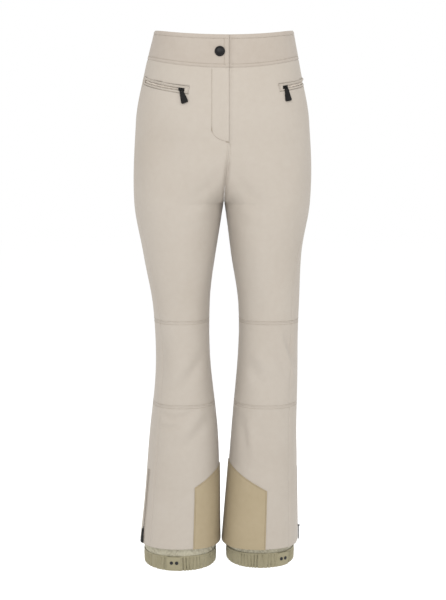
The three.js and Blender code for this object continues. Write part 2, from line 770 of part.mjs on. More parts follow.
// ---------------------------------------------------------------- snaps
function turned(profile, frame, segments) {
  const lathe = new THREE.LatheGeometry(profile.map(([r, h]) => new THREE.Vector2(r, h)), segments);
  lathe.applyMatrix4(new THREE.Matrix4().makeBasis(frame.side, frame.out, frame.up.clone().negate()));
  lathe.translate(...frame.origin.toArray());
  return lathe;
}

const dome = (radius, height) => [
  [0, 0],
  [radius, 0],
  [radius, height * 0.35],
  [radius * 0.85, height * 0.7],
  [radius * 0.5, height * 0.94],
  [0, height],
];

const waistSnapZ = bandTop(90) - WAIST_SNAP_DROP;
const waistSnapFrame = (out) =>
  frameOn(LEGS.right, angleAt(LEGS.right, WAIST_SNAP_FROM_EDGE, waistSnapZ), waistSnapZ, out);
const waistCap = () => turned(dome(WAIST_SNAP_RADIUS, 3.2), waistSnapFrame(CLEARANCE), 24);

const waistSocket = () => turned([
  [SOCKET_BORE, 0],
  [SOCKET_RADIUS, 0],
  [SOCKET_RADIUS, SOCKET_HEIGHT],
  [SOCKET_BORE, SOCKET_HEIGHT],
  [SOCKET_BORE, 0],
], waistSnapFrame(-TAB_THICKNESS - 0.3 - SOCKET_HEIGHT), 20);

const waistStud = () => turned([
  [0, 0],
  [SOCKET_RADIUS - 1.5, 0],
  [SOCKET_RADIUS - 1.5, 0.3],
  [STUD_RADIUS, 0.4],
  [STUD_RADIUS, 1.8],
  [0, 2],
], waistSnapFrame(0.3 - UNDERLAP_DEPTH), 16);

// ---------------------------------------------------------------- gaiters
const cuffTop = (leg) => HEM_Z - leg.skirtShown;
const cuffFoot = (leg) => cuffTop(leg) - CUFF_HEIGHT;

function gaiterRing(leg, top, foot, inset, thickness) {
  const grid = (out) => evenly(top, foot, 2).map((z) =>
    evenly(0, 360, 28).slice(0, -1).map((angle) => surface(leg, angle, z, out)));
  return slab(grid(-inset), grid(-inset - thickness), true);
}

const gaiterSkirt = (leg) =>
  gaiterRing(leg, HEM_Z + SKIRT_HIDDEN, cuffTop(leg) + CLEARANCE, SKIRT_INSET, SKIRT_THICKNESS);
const gaiterCuff = (leg) => gaiterRing(leg, cuffTop(leg), cuffFoot(leg), CUFF_INSET, CUFF_THICKNESS);

function gaiterTab(leg) {
  return patch(leg, {
    levels: evenly(cuffTop(leg) - 1, cuffFoot(leg) + 1, 2),
    from: () => leg.tab.innerAngle,
    to: () => leg.tab.outerAngle,
    columns: 5,
    out: () => GAITER_TAB_LIFT + GAITER_TAB_THICKNESS - CUFF_INSET,
    thickness: GAITER_TAB_THICKNESS,
  });
}

function gaiterSnapFrame(leg, place, out) {
  const z = (cuffTop(leg) + cuffFoot(leg)) / 2;
  const middle = (leg.tab.innerAngle + leg.tab.outerAngle) / 2;
  const reach = surface(leg, middle - 0.5, z).distanceTo(surface(leg, middle + 0.5, z));
  return frameOn(leg, middle + (place * GAITER_SNAP_PITCH) / reach, z, out - CUFF_INSET);
}

const gaiterCap = (leg, place) => turned(dome(GAITER_SNAP_RADIUS, 1.6),
  gaiterSnapFrame(leg, place, GAITER_TAB_LIFT + GAITER_TAB_THICKNESS + 0.3), 14);
const gaiterStud = (leg, place) => turned(dome(GAITER_SNAP_RADIUS - 0.5, 1.3),
  gaiterSnapFrame(leg, place, 0.4), 12);

// ---------------------------------------------------------------- assembly
const trousers = new THREE.Group();
trousers.name = 'ski_trousers';

function place(name, geometry, material) {
  const mesh = new THREE.Mesh(geometry, material);
  mesh.name = name;
  trousers.add(mesh);
}

function placeWaist() {
  place('waistband_right_front', rightBand(), BAND());
  place('waistband_left_front', leftBand(), BAND());
  place('waistband_back', backBand(), BAND());
  place('waistband_tab', waistTab(), BAND());
  place('waist_snap_cap', waistCap(), SNAP());
  place('waist_snap_socket', waistSocket(), GUNMETAL());
  place('waist_snap_stud', waistStud(), GUNMETAL());
}

function placeFly() {
  const { frames, pivot } = flySlider();
  place('fly_placket', placket(), SHELL());
  place('fly_shield', flyShield(), SHELL());
  place('fly_zip', sweep(tapeOutline, along(flyZipLine(), 0, lineLength(flyZipLine()))), ZIP());
  place('fly_slider', slider(frames, pivot), SLIDER());
  place('fly_pull', pull(pivot, FLY_PULL_LENGTH), PULL());
}

function placeSide(name, leg) {
  const pocket = pocketSlider(leg);
  const hem = hemSlider(leg);
  place(`${name}_front_panel`, cut(frontPanel(leg), pocketSlot(leg)), SHELL());
  place(`${name}_back_panel`, backPanel(leg), SHELL());
  place(`${name}_pocket_welt`, pocketWelt(leg), SHELL());
  place(`${name}_pocket_zip`, pocketZip(leg), ZIP());
  place(`${name}_pocket_slider`, slider(pocket.frames, pocket.pivot), SLIDER());
  place(`${name}_pocket_pull`, pull(pocket.pivot, PULL_LENGTH), PULL());
  place(`${name}_pocket_bag`, pocketBag(leg), LINING());
  place(`${name}_knee_front`, frontLegPanel(leg, kneeLevels), SHELL());
  place(`${name}_knee_back`, backLegPanel(leg, kneeLevels), SHELL());
  place(`${name}_shin_front`, frontLegPanel(leg, shinLevels), SHELL());
  place(`${name}_shin_back`, cut(backLegPanel(leg, shinLevels), hemSlot(leg)), SHELL());
  place(`${name}_scuff_guard`, scuffGuard(leg), GUARD());
  place(`${name}_hem_zip`, hemZip(leg), ZIP());
  place(`${name}_hem_slider`, slider(hem.frames, hem.pivot), SLIDER());
  place(`${name}_hem_pull`, pull(hem.pivot, PULL_LENGTH), PULL());
  place(`${name}_gaiter_skirt`, gaiterSkirt(leg), GAITER());
  place(`${name}_gaiter_cuff`, gaiterCuff(leg), ELASTIC());
  place(`${name}_gaiter_tab`, gaiterTab(leg), ELASTIC());
  for (const [label, side] of [['inner', -0.5], ['outer', 0.5]]) {
    place(`${name}_gaiter_cap_${label}`, gaiterCap(leg, side), GUNMETAL());
    place(`${name}_gaiter_stud_${label}`, gaiterStud(leg, side), GUNMETAL());
  }
}

placeWaist();
placeFly();
for (const [name, leg] of Object.entries(LEGS)) placeSide(name, leg);

export default trousers;
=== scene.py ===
"""Pale softshell ski trousers with welted pockets, shaped knees, scuff guards and snow gaiters.

The cloth follows one smooth surface in millimetres: each leg is an oval whose edges run through
named heights, and the two ovals merge above the crotch. Every panel, seam, stitch line and zip is
placed on that surface, so neighbouring pieces always meet.
"""

import logging
import math
from collections.abc import Callable, Sequence
from dataclasses import dataclass, replace
from enum import Enum
from functools import cached_property

import bpy
import numpy as np
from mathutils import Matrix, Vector


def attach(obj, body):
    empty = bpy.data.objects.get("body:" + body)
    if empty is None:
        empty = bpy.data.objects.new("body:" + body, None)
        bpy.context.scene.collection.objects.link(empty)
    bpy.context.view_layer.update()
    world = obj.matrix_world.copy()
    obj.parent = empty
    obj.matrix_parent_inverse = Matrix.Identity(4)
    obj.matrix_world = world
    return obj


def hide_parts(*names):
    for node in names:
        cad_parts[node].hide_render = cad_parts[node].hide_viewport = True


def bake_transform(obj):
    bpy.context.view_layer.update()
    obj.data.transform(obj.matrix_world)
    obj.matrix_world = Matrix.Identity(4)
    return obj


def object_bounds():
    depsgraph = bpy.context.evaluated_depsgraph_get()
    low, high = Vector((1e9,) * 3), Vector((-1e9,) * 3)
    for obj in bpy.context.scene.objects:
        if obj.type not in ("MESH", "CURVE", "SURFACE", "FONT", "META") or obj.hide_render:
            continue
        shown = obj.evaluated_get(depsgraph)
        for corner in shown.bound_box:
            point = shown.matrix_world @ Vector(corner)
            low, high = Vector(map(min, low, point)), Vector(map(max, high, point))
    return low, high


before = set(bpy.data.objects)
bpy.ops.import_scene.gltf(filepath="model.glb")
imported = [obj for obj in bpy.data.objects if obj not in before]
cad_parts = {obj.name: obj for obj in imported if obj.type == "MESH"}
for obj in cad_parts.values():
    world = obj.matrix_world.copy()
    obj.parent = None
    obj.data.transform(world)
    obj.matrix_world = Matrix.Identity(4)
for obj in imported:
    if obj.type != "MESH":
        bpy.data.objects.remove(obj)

CAD_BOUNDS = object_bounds()
LOG = logging.getLogger("ski_trousers")
MM = 0.001

Array = np.ndarray
Object = bpy.types.Object
Material = bpy.types.Material
Socket = bpy.types.NodeSocket

# Heights of the pattern, in millimetres below the waist.
HIGH_HIP_Z = -80.0
HIP_Z = -180.0
CROTCH_Z = -336.0
THIGH_Z = -440.0
LOWER_THIGH_Z = -540.0
KNEE_Z = -655.0
CALF_Z = -800.0
HEM_Z = -1025.0
KNEE_PANEL_HALF = 84.0
KNEE_TOP = KNEE_Z + KNEE_PANEL_HALF
KNEE_FOOT = KNEE_Z - KNEE_PANEL_HALF
TORSO_HEIGHTS = (0.0, HIGH_HIP_Z, HIP_Z, CROTCH_Z)
LEG_HEIGHTS = (THIGH_Z, LOWER_THIGH_Z, KNEE_Z, CALF_Z, HEM_Z)

# Depth of the garment in front of and behind its side line, at the heights above.
FRONT_DEPTH = (98.0, 107.0, 113.0, 100.0, 90.0, 80.0, 76.0, 80.0, 88.0)
BACK_DEPTH = (98.0, 110.0, 121.0, 108.0, 94.0, 82.0, 76.0, 80.0, 88.0)
SQUARENESS = 0.08

# Waistband and fly.
FLY_TOP_X = 9.5
FLY_BOTTOM_Z = -215.0
FLY_WIDTH = 33.0
FLY_CURVE_HEIGHT = 24.0
WAIST_FRONT_DIP = 12.0
WAIST_BACK_DIP = 3.0
BAND_SIDE_HEIGHT = 56.0
BAND_FRONT_EXTRA = 19.0
BAND_BACK_EXTRA = 2.0
FLY_OVERLAP = 3.0
BAND_MIDDLE_Z = -BAND_SIDE_HEIGHT - BAND_FRONT_EXTRA / 2

# Cloth.
FABRIC = 2.2
SEAM_GAP = 0.6
SIDE_SEAM_LEG = 135.0
BUTT = 0.1
CALM_ABOVE_Z = -125.0


class Face(Enum):
    """Side of the garment that a fold lies on."""

    FRONT = -1.0
    BACK = 1.0


def smoothstep(low: float, high: float, value: Array) -> Array:
    """Returns 0 below low, 1 above high and a smooth rise between them."""
    share = np.clip((np.asarray(value, float) - low) / (high - low), 0.0, 1.0)
    return share * share * (3.0 - 2.0 * share)


def through(heights: Sequence[float], values: Sequence[float], z: Array) -> Array:
    """Smooth curve through values at heights, held level past both ends.

    Args:
        heights: Heights from the top down.
        values: Value at each height.
        z: Heights to read the curve at.

    Returns:
        The curve's value at each z.
    """
    h = np.asarray(heights, float)[::-1]
    v = np.asarray(values, float)[::-1]
    slope = np.gradient(v)
    slope[1:-1] = (v[2:] - v[:-2]) / (h[2:] - h[:-2])
    slope[0] = (v[1] - v[0]) / (h[1] - h[0])
    slope[-1] = (v[-1] - v[-2]) / (h[-1] - h[-2])
    held = np.clip(z, h[0], h[-1])
    i = np.clip(np.searchsorted(h, held) - 1, 0, len(h) - 2)
    span = h[i + 1] - h[i]
    t = (held - h[i]) / span
    low = v[i] * (1 + 2 * t) * (1 - t) ** 2 + slope[i] * span * t * (1 - t) ** 2
    return low + v[i + 1] * t * t * (3 - 2 * t) - slope[i + 1] * span * t * t * (1 - t)


def middle_x(z: Array) -> Array:
    """Returns where the centre front seam runs at a height."""
    return FLY_TOP_X * smoothstep(CROTCH_Z, FLY_BOTTOM_Z, z)


def unit(vectors: Array) -> Array:
    """Returns the vectors with length 1."""
    return vectors / np.maximum(np.linalg.norm(vectors, axis=-1, keepdims=True), 1e-9)


@dataclass(frozen=True)
class Frames:
    """Frames along a line, as arrays."""

    origin: Array
    up: Array
    out: Array
    along: Array


@dataclass(frozen=True)
class Line:
    """Straight line from a foot to a head, with the direction that faces out of the cloth."""

    foot: Array
    head: Array
    outward: Array

    @property
    def length(self) -> float:
        """Length from foot to head."""
        return float(np.linalg.norm(self.head - self.foot))

    def frames(self, distances: Array) -> Frames:
        """Returns the frames at distances along the line."""
        along = unit(self.head - self.foot)
        up = unit(np.cross(self.outward, along))
        out = unit(np.cross(along, up))
        origin = self.foot + np.asarray(distances, float)[:, None] * along
        return Frames(origin, *(np.broadcast_to(v, origin.shape) for v in (up, out, along)))

    def distance(self, points: Array) -> Array:
        """Returns how far each point is from the line."""
        way = self.head - self.foot
        share = np.clip((points - self.foot) @ way / (way @ way), 0.0, 1.0)
        return np.linalg.norm(points - self.foot - share[..., None] * way, axis=-1)


# ------------------------------------------------------------------ how the cloth hangs
@dataclass(frozen=True)
class Fold:
    """A soft ridge or valley that runs along a line of [x, z] points on one face."""

    path: tuple[tuple[float, float], ...]
    height: float
    width: float
    face: Face = Face.FRONT

    def rise(self, points: Array, facing: Array) -> Array:
        """How far the cloth stands out because of this fold.

        Args:
            points: Points on the surface.
            facing: The normal's Y at each point.

        Returns:
            The rise in millimetres.
        """
        nearest = np.full(points.shape[:-1], 1e9)
        fade = np.zeros(points.shape[:-1])
        line = np.array(self.path)
        steps = np.linalg.norm(np.diff(line, axis=0), axis=1)
        starts = np.concatenate([[0.0], np.cumsum(steps)])
        flat = points[..., [0, 2]]
        for i, step in enumerate(steps):
            way = (line[i + 1] - line[i]) / step
            along = np.clip((flat - line[i]) @ way, 0.0, step)
            gap = np.linalg.norm(flat - line[i] - along[..., None] * way, axis=-1)
            place = (starts[i] + along) / starts[-1]
            closer = gap < nearest
            fade = np.where(closer, np.sin(np.pi * place) ** 0.8, fade)
            nearest = np.where(closer, gap, nearest)
        seen = smoothstep(0.05, 0.6, self.face.value * facing)
        return self.height * np.exp(-((nearest / self.width) ** 2)) * fade * seen


@dataclass
class Drape:
    """All the folds of the garment, and a slow unevenness over the whole cloth."""

    folds: tuple[Fold, ...]
    still: tuple[Line, ...] = ()
    swell: float = 0.5

    def rise(self, points: Array, normals: Array) -> Array:
        """Returns how far the cloth stands out of the pattern's surface at each point."""
        total = self.waves(points) * self.swell
        for fold in self.folds:
            total = total + fold.rise(points, normals[..., 1])
        apart = np.abs(points[..., 0] - middle_x(points[..., 2]))
        below = smoothstep(FLY_BOTTOM_Z + 20, FLY_BOTTOM_Z - 20, points[..., 2])
        calm = 1.0 - below * (1.0 - smoothstep(2.0, 18.0, apart))
        for line in self.still:
            calm = calm * smoothstep(8.0, 36.0, line.distance(points))
        return total * calm * smoothstep(CALM_ABOVE_Z, CALM_ABOVE_Z - 75, points[..., 2])

    @staticmethod
    def waves(points: Array) -> Array:
        """Returns a slow unevenness, made of a few crossing waves."""
        x, y, z = points[..., 0], points[..., 1], points[..., 2]
        total = np.sin(x / 31.0 + z / 57.0 + 0.7) + np.sin(y / 27.0 - z / 71.0 + 2.1)
        total = total + 0.7 * np.sin(x / 19.0 - y / 23.0 + z / 38.0)
        return total + 0.5 * np.sin(x / 13.0 + y / 17.0 - z / 29.0 + 4.0)


DRAPE = Drape(
    folds=(
        # wearer's right leg, front
        Fold(((-62, -640), (-86, -668), (-112, -700)), 3.77, 12),
        Fold(((-34, -622), (-58, -664), (-86, -712)), -3.77, 11),
        Fold(((-132, -752), (-104, -763), (-74, -757), (-50, -742)), -3.48, 7),
        Fold(((-134, -786), (-106, -780), (-78, -764)), -2.61, 7),
        Fold(((-132, -770), (-104, -772), (-80, -764)), 2.03, 6),
        Fold(((-18, -752), (-48, -790), (-88, -832)), -3.48, 13),
        Fold(((-40, -744), (-66, -778), (-100, -812)), 2.9, 12),
        Fold(((-84, -430), (-82, -500), (-80, -560)), 2.32, 16),
        Fold(((-118, -600), (-122, -650), (-126, -700)), -2.61, 9),
        Fold(((-44, -880), (-96, -930), (-132, -990)), -2.32, 18),
        # wearer's left leg, front
        Fold(((108, -584), (119, -622), (134, -664), (150, -706)), 3.48, 4.5),
        Fold(((120, -588), (130, -622), (144, -660)), -4.06, 7),
        Fold(((60, -628), (82, -652), (104, -678)), 3.19, 12),
        Fold(((44, -640), (62, -676), (88, -712)), -2.61, 12),
        Fold(((100, -622), (112, -650), (126, -684)), -2.61, 7),
        Fold(((46, -760), (54, -805), (66, -860)), 3.19, 10),
        Fold(((72, -768), (80, -820), (92, -880)), -2.61, 12),
        Fold(((30, -748), (40, -790), (44, -830)), -2.32, 9),
        Fold(((70, -380), (76, -470), (80, -548)), 2.03, 16),
        # from the crotch out over the thighs
        Fold(((2, -262), (-28, -300), (-66, -330)), -2.32, 10),
        Fold(((20, -268), (44, -312), (84, -338)), -2.03, 10),
        Fold(((-14, -318), (-46, -352), (-92, -372)), 1.89, 12),
        Fold(((22, -322), (52, -362), (96, -378)), 1.74, 12),
        # behind
        Fold(((-16, -300), (-60, -330), (-128, -322)), -2.78, 9, Face.BACK),
        Fold(((18, -302), (64, -332), (124, -320)), -2.78, 9, Face.BACK),
        Fold(((-22, -322), (-74, -352), (-140, -346)), 1.91, 10, Face.BACK),
        Fold(((24, -324), (76, -352), (136, -344)), 1.91, 10, Face.BACK),
        Fold(((-30, -628), (-82, -642), (-136, -622)), -2.96, 7, Face.BACK),
        Fold(((-30, -664), (-80, -656), (-134, -676)), -2.78, 7, Face.BACK),
        Fold(((-32, -645), (-82, -650), (-134, -650)), 1.91, 6, Face.BACK),
        Fold(((32, -622), (86, -640), (144, -630)), -2.78, 7, Face.BACK),
        Fold(((30, -668), (84, -658), (146, -674)), -2.96, 7, Face.BACK),
        Fold(((32, -646), (86, -649), (142, -652)), 1.91, 6, Face.BACK),
        Fold(((-36, -700), (-84, -742), (-136, -760)), -1.91, 11, Face.BACK),
        Fold(((38, -700), (88, -738), (142, -762)), -1.91, 11, Face.BACK),
        Fold(((-60, -380), (-72, -470), (-78, -560)), 1.57, 18, Face.BACK),
        Fold(((62, -384), (76, -470), (84, -556)), 1.57, 18, Face.BACK),
        Fold(((-70, -820), (-84, -900), (-92, -1000)), 1.57, 18, Face.BACK),
        Fold(((72, -820), (78, -910), (80, -1000)), 1.57, 18, Face.BACK),
    )
)


# ------------------------------------------------------------------ the pattern's surface
@dataclass(frozen=True)
class PocketPlan:
    """Ends of one pocket opening."""

    inner_angle: float
    outer_angle: float
    inner_z: float
    outer_z: float


@dataclass(frozen=True)
class GuardPlan:
    """Front edge and sloping top of one scuff guard."""

    front_angle: float
    peak_z: float
    corner_z: float


@dataclass(frozen=True)
class Leg:
    """One side of the garment. Distances run outwards from the middle."""

    side: str
    sign: float
    torso: tuple[float, float, float, float]
    outer: tuple[float, float, float, float, float]
    inner: tuple[float, float, float, float, float]
    side_seam_hip: float
    pocket: PocketPlan
    guard: GuardPlan
    hem_zip_angle: float
    tab_inner: float
    tab_outer: float
    skirt_shown: float

    @property
    def shin(self) -> str:
        """Body that this leg's lower part rides on."""
        return f"{self.side}_shin"

    def oval(self, z: Array) -> tuple[Array, Array]:
        """Centre and half width of the leg's oval at a height.

        Args:
            z: Heights.

        Returns:
            The centre and the half width, both measured outwards.
        """
        z = np.asarray(z, float)
        outer = through(TORSO_HEIGHTS + LEG_HEIGHTS, self.torso + self.outer, z)
        inner = through((CROTCH_Z, *LEG_HEIGHTS), (SEAM_GAP, *self.inner), z)
        share = np.clip((FLY_BOTTOM_Z - z) / (FLY_BOTTOM_Z - CROTCH_Z), 0.0, 1.0) ** 1.5
        merged = (outer - self.sign * middle_x(z)) / (1.0 + share)
        centre = np.where(z <= CROTCH_Z, (outer + inner) / 2, share * merged)
        return centre, np.where(z <= CROTCH_Z, (outer - inner) / 2, merged)

    def bare(self, angle: Array, z: Array, out: Array = 0.0) -> tuple[Array, Array]:
        """Point and normal on the pattern's surface, before the cloth hangs.

        Args:
            angle: Degrees round the leg: 0 inseam, 90 front, 180 outside, 270 back.
            z: Heights.
            out: Distance out of the surface.

        Returns:
            Points and level normals.
        """
        angle, z, out = np.broadcast_arrays(np.asarray(angle, float), z, out)
        centre, half = self.oval(z)
        c = np.cos(np.radians(angle))
        s = np.sin(np.radians(angle))
        heights = TORSO_HEIGHTS + LEG_HEIGHTS
        depth = np.where(s > 0, through(heights, FRONT_DEPTH, z), through(heights, BACK_DEPTH, z))
        k = SQUARENESS
        across = c * (1 + k * s * s)
        along = s * (1 + k * c * c)
        across_rate = -s * (1 + k * s * s) + 2 * k * s * c * c
        along_rate = c * (1 + k * c * c) - 2 * k * c * s * s
        normal = unit(np.stack([-self.sign * depth * along_rate, half * across_rate, 0 * z], -1))
        x = middle_x(z) + self.sign * (centre - half * across)
        return np.stack([x, -depth * along, z], -1) + normal * out[..., None], normal

    def skin(self, angle: Array, z: Array, out: Array = 0.0) -> tuple[Array, Array]:
        """Returns points and normals on the hanging cloth, a distance out of it."""
        points, normal = self.bare(angle, z)
        rise = DRAPE.rise(points, normal) + out
        return points + normal * rise[..., None], normal

    def angle_at(self, distance: Array, z: Array) -> Array:
        """Front angle at which the surface is a given distance outside the middle seam."""
        distance, z = np.broadcast_arrays(np.asarray(distance, float), np.asarray(z, float))
        centre, half = self.oval(z)
        low = np.zeros(z.shape)
        high = np.full(z.shape, 180.0)
        for _ in range(36):
            mid = (low + high) / 2
            s = np.sin(np.radians(mid))
            across = np.cos(np.radians(mid)) * (1 + SQUARENESS * s * s)
            short = centre - half * across < distance
            low = np.where(short, mid, low)
            high = np.where(short, high, mid)
        return (low + high) / 2

    def start_angle(self, z: Array) -> Array:
        """Returns the angle of the centre seam, or of the inseam below the crotch."""
        z = np.asarray(z, float)
        depth = through(TORSO_HEIGHTS + LEG_HEIGHTS, FRONT_DEPTH, z)
        gap = np.degrees(BUTT / 2 / depth)
        return np.where(z > CROTCH_Z, self.angle_at(BUTT / 2, z), gap)

    def side_seam(self, z: Array) -> Array:
        """Returns the angle of the side seam at a height."""
        share = smoothstep(LOWER_THIGH_Z, HIP_Z, z)
        return SIDE_SEAM_LEG + (self.side_seam_hip - SIDE_SEAM_LEG) * share

    def fly_line(self, z: Array) -> Array:
        """Returns the angle of the J-shaped stitch line that holds the fly."""
        curve = np.clip((np.asarray(z, float) - FLY_BOTTOM_Z) / FLY_CURVE_HEIGHT, 0.0, 1.0)
        reach = FLY_WIDTH * np.sqrt(1 - (1 - curve) ** 2)
        return self.angle_at(np.maximum(reach, BUTT / 2), z)

    def frame(self, angle: float, z: float, out: float = 0.0) -> "Frame":
        """Returns the frame on the surface: across the cloth, up it and out of it."""
        origin = self.bare(angle, z, out)[0]
        up = unit(self.bare(angle, z + 1, out)[0] - self.bare(angle, z - 1, out)[0])
        side = unit(np.cross(up, self.bare(angle, z, out + 1)[0] - origin))
        return Frame(origin, side, up, unit(np.cross(side, up)))


@dataclass(frozen=True)
class Frame:
    """A place on the cloth with three square directions."""

    origin: Array
    side: Array
    up: Array
    out: Array


RIGHT = Leg(
    side="right",
    sign=-1.0,
    torso=(137.0, 157.0, 176.0, 178.0),
    outer=(161.0, 144.0, 138.0, 149.5, 171.0),
    inner=(17.0, 29.0, 27.5, 12.5, 8.5),
    side_seam_hip=170.0,
    pocket=PocketPlan(117.5, 162.0, -117.0, -99.0),
    guard=GuardPlan(71.0, -868.0, -901.0),
    hem_zip_angle=156.0,
    tab_inner=86.0,
    tab_outer=108.0,
    skirt_shown=16.0,
)
LEFT = Leg(
    side="left",
    sign=1.0,
    torso=(137.0, 152.0, 170.0, 171.0),
    outer=(155.0, 150.0, 149.0, 147.5, 151.0),
    inner=(15.0, 28.0, 27.0, 15.0, -3.5),
    side_seam_hip=200.0,
    pocket=PocketPlan(132.0, 184.0, -112.0, -97.0),
    guard=GuardPlan(96.0, -860.0, -907.0),
    hem_zip_angle=176.0,
    tab_inner=115.0,
    tab_outer=138.0,
    skirt_shown=10.0,
)


def band_top(angle: Array) -> Array:
    """Returns the height of the waistband's top edge round the waist."""
    s = np.sin(np.radians(angle))
    return -WAIST_FRONT_DIP * np.maximum(0, s) ** 2 - WAIST_BACK_DIP * np.maximum(0, -s) ** 2


def band_foot(angle: Array) -> Array:
    """Returns the height of the waistband's lower seam round the waist."""
    s = np.sin(np.radians(angle))
    extra = BAND_FRONT_EXTRA * np.maximum(0, s) ** 2 + BAND_BACK_EXTRA * np.maximum(0, -s) ** 2
    return -BAND_SIDE_HEIGHT - extra


# ------------------------------------------------------------------ mesh building
def build_mesh(
    name: str,
    points: Array,
    faces: list[Sequence[int]],
    dress: Sequence[Material],
    kinds: Sequence[int] | None = None,
    cloth_map: Array | None = None,
) -> Object:
    """Makes an object from points in millimetres.

    Args:
        name: Name of the piece.
        points: Corner points.
        faces: Corner numbers of each face.
        dress: Materials.
        kinds: Which material each face has.
        cloth_map: Place of each point on the flat cloth, in centimetres.

    Returns:
        The new object, with its faces turned outwards.
    """
    mesh = bpy.data.meshes.new(name)
    mesh.from_pydata((points * MM).tolist(), [], faces)
    for material in dress:
        mesh.materials.append(material)
    if kinds is not None:
        mesh.polygons.foreach_set("material_index", np.asarray(kinds, np.int32))
    if cloth_map is not None:
        layer = mesh.uv_layers.new(name="cloth")
        corners = np.empty(len(mesh.loops), np.int32)
        mesh.loops.foreach_get("vertex_index", corners)
        layer.data.foreach_set("uv", cloth_map[corners].astype(np.float32).ravel())
    mesh.polygons.foreach_set("use_smooth", np.ones(len(mesh.polygons), bool))
    if signed_volume(points, faces) < 0:
        mesh.flip_normals()
    mesh.set_sharp_from_angle(angle=math.radians(55))
    mesh.update()
    piece = bpy.data.objects.new(name, mesh)
    bpy.context.scene.collection.objects.link(piece)
    return piece


def signed_volume(points: Array, faces: list[Sequence[int]]) -> float:
    """Returns the volume that the faces enclose, negative when they face inwards."""
    quads = np.array([(f[0], f[1], f[2]) for f in faces] + [(f[0], f[2], f[3]) for f in faces if len(f) == 4])
    a, b, c = points[quads[:, 0]], points[quads[:, 1]], points[quads[:, 2]]
    return float(np.einsum("ij,ij->i", a, np.cross(b, c)).sum())


def grid_faces(numbers: Array, ring: bool) -> Array:
    """Returns the four corner numbers of every cell in a grid of point numbers."""
    after = np.roll(numbers, -1, axis=1) if ring else numbers[:, 1:]
    here = numbers if ring else numbers[:, :-1]
    cells = np.stack([here[:-1], after[:-1], after[1:], here[1:]], -1)
    return cells.reshape(-1, 4)


def strip_faces(first: Array, second: Array) -> Array:
    """Returns the faces of the wall between two lines of point numbers."""
    return np.stack([first[:-1], second[:-1], second[1:], first[1:]], -1)


def shell(
    name: str, outer: Array, inner: Array, dress: Sequence[Material], ring: bool = False
) -> Object:
    """Closed cloth layer between an outer and an inner grid of points.

    Args:
        name: Name of the piece.
        outer: Grid of outer points, in rows from the top down.
        inner: Grid of inner points.
        dress: Material of the outside, and of the inside where there is a second one.
        ring: Whether each row closes on itself.

    Returns:
        The new object.
    """
    rows, columns = outer.shape[:2]
    top = np.arange(rows * columns).reshape(rows, columns)
    under = top + rows * columns
    parts = [grid_faces(top, ring), grid_faces(under, ring)[:, ::-1]]
    edges = [(top[0], under[0]), (under[-1], top[-1])]
    if ring:
        edges = [(np.append(a, a[0]), np.append(b, b[0])) for a, b in edges]
    else:
        edges += [(under[:, 0], top[:, 0]), (top[:, -1], under[:, -1])]
    walls = [strip_faces(b, a) for a, b in edges]
    faces = np.concatenate(parts + walls)
    kinds = np.zeros(len(faces), int)
    kinds[len(parts[0]):len(parts[0]) + len(parts[1])] = len(dress) - 1
    across = np.linalg.norm(np.diff(outer, axis=1), axis=-1)
    along = np.linalg.norm(np.diff(outer, axis=0), axis=-1)
    u = np.concatenate([np.zeros((rows, 1)), np.cumsum(across, axis=1)], axis=1)
    v = np.concatenate([np.zeros((1, columns)), np.cumsum(along, axis=0)], axis=0)
    u = u - u[:, [columns // 2]]
    flat = np.stack([u, -v], -1).reshape(-1, 2) / 10.0
    points = np.concatenate([outer.reshape(-1, 3), inner.reshape(-1, 3)])
    return build_mesh(name, points, faces.tolist(), dress, kinds, np.tile(flat, (2, 1)))


def sweep(name: str, outline: Array, frames: "Frames", dress: Sequence[Material]) -> Object:
    """Closed bar of one [up, out] outline swept through frames."""
    o = frames.origin[:, None] + outline[None, :, :1] * frames.up[:, None]
    points = o + outline[None, :, 1:] * frames.out[:, None]
    count, corners = points.shape[:2]
    numbers = np.arange(count * corners).reshape(count, corners)
    faces = grid_faces(numbers, True).tolist()
    faces += [numbers[0][::-1].tolist(), numbers[-1].tolist()]
    return build_mesh(name, points.reshape(-1, 3), faces, dress)


def spaced(length: float, borders: Sequence[float], coarse: float) -> Array:
    """Shares from 0 to 1 that are close together beside both edges.

    Args:
        length: Whole length in millimetres.
        borders: Distances from each edge that get a line of points.
        coarse: Spacing in the middle.

    Returns:
        The shares in rising order.
    """
    near = np.array([b for b in borders if b < length * 0.45])
    middle = np.linspace(near[-1], length - near[-1], max(2, round((length - 2 * near[-1]) / coarse)))
    return np.concatenate([near[:-1], middle, (length - near[:-1])[::-1]]) / length


@dataclass(frozen=True)
class Arc:
    """Circle through three points, walked by distance from the first."""

    first: Array
    second: Array
    third: Array

    @cached_property
    def turn(self) -> tuple[Array, Array, Array, float, float]:
        """Centre, axis, first radius, radius and signed turn of the whole arc."""
        ab, ac = self.second - self.first, self.third - self.first
        axis = np.cross(ab, ac)
        to_centre = np.cross(axis, ab) * (ac @ ac) + np.cross(ac, axis) * (ab @ ab)
        to_centre = to_centre / (2 * axis @ axis)
        centre = self.first + to_centre
        up = axis / np.linalg.norm(axis) * (1 if axis[2] > 0 else -1)
        radius = float(np.linalg.norm(to_centre))
        start, end = (self.first - centre) / radius, (self.third - centre) / radius
        way = math.copysign(1.0, float(np.cross(start, end) @ up))
        return centre, up, start, radius, way * math.acos(float(start @ end))

    @property
    def length(self) -> float:
        """Length of the arc from the first point to the third."""
        return self.turn[3] * abs(self.turn[4])

    def frames(self, distances: Array) -> Frames:
        """Returns the frames at distances along the arc."""
        centre, up, start, radius, angle = self.turn
        turned = np.asarray(distances, float)[:, None] / radius * math.copysign(1.0, angle)
        out = start * np.cos(turned) + np.cross(up, start) * np.sin(turned)
        along = np.cross(up, out) * math.copysign(1.0, angle)
        return Frames(centre + out * radius, np.broadcast_to(up, out.shape), out, along)


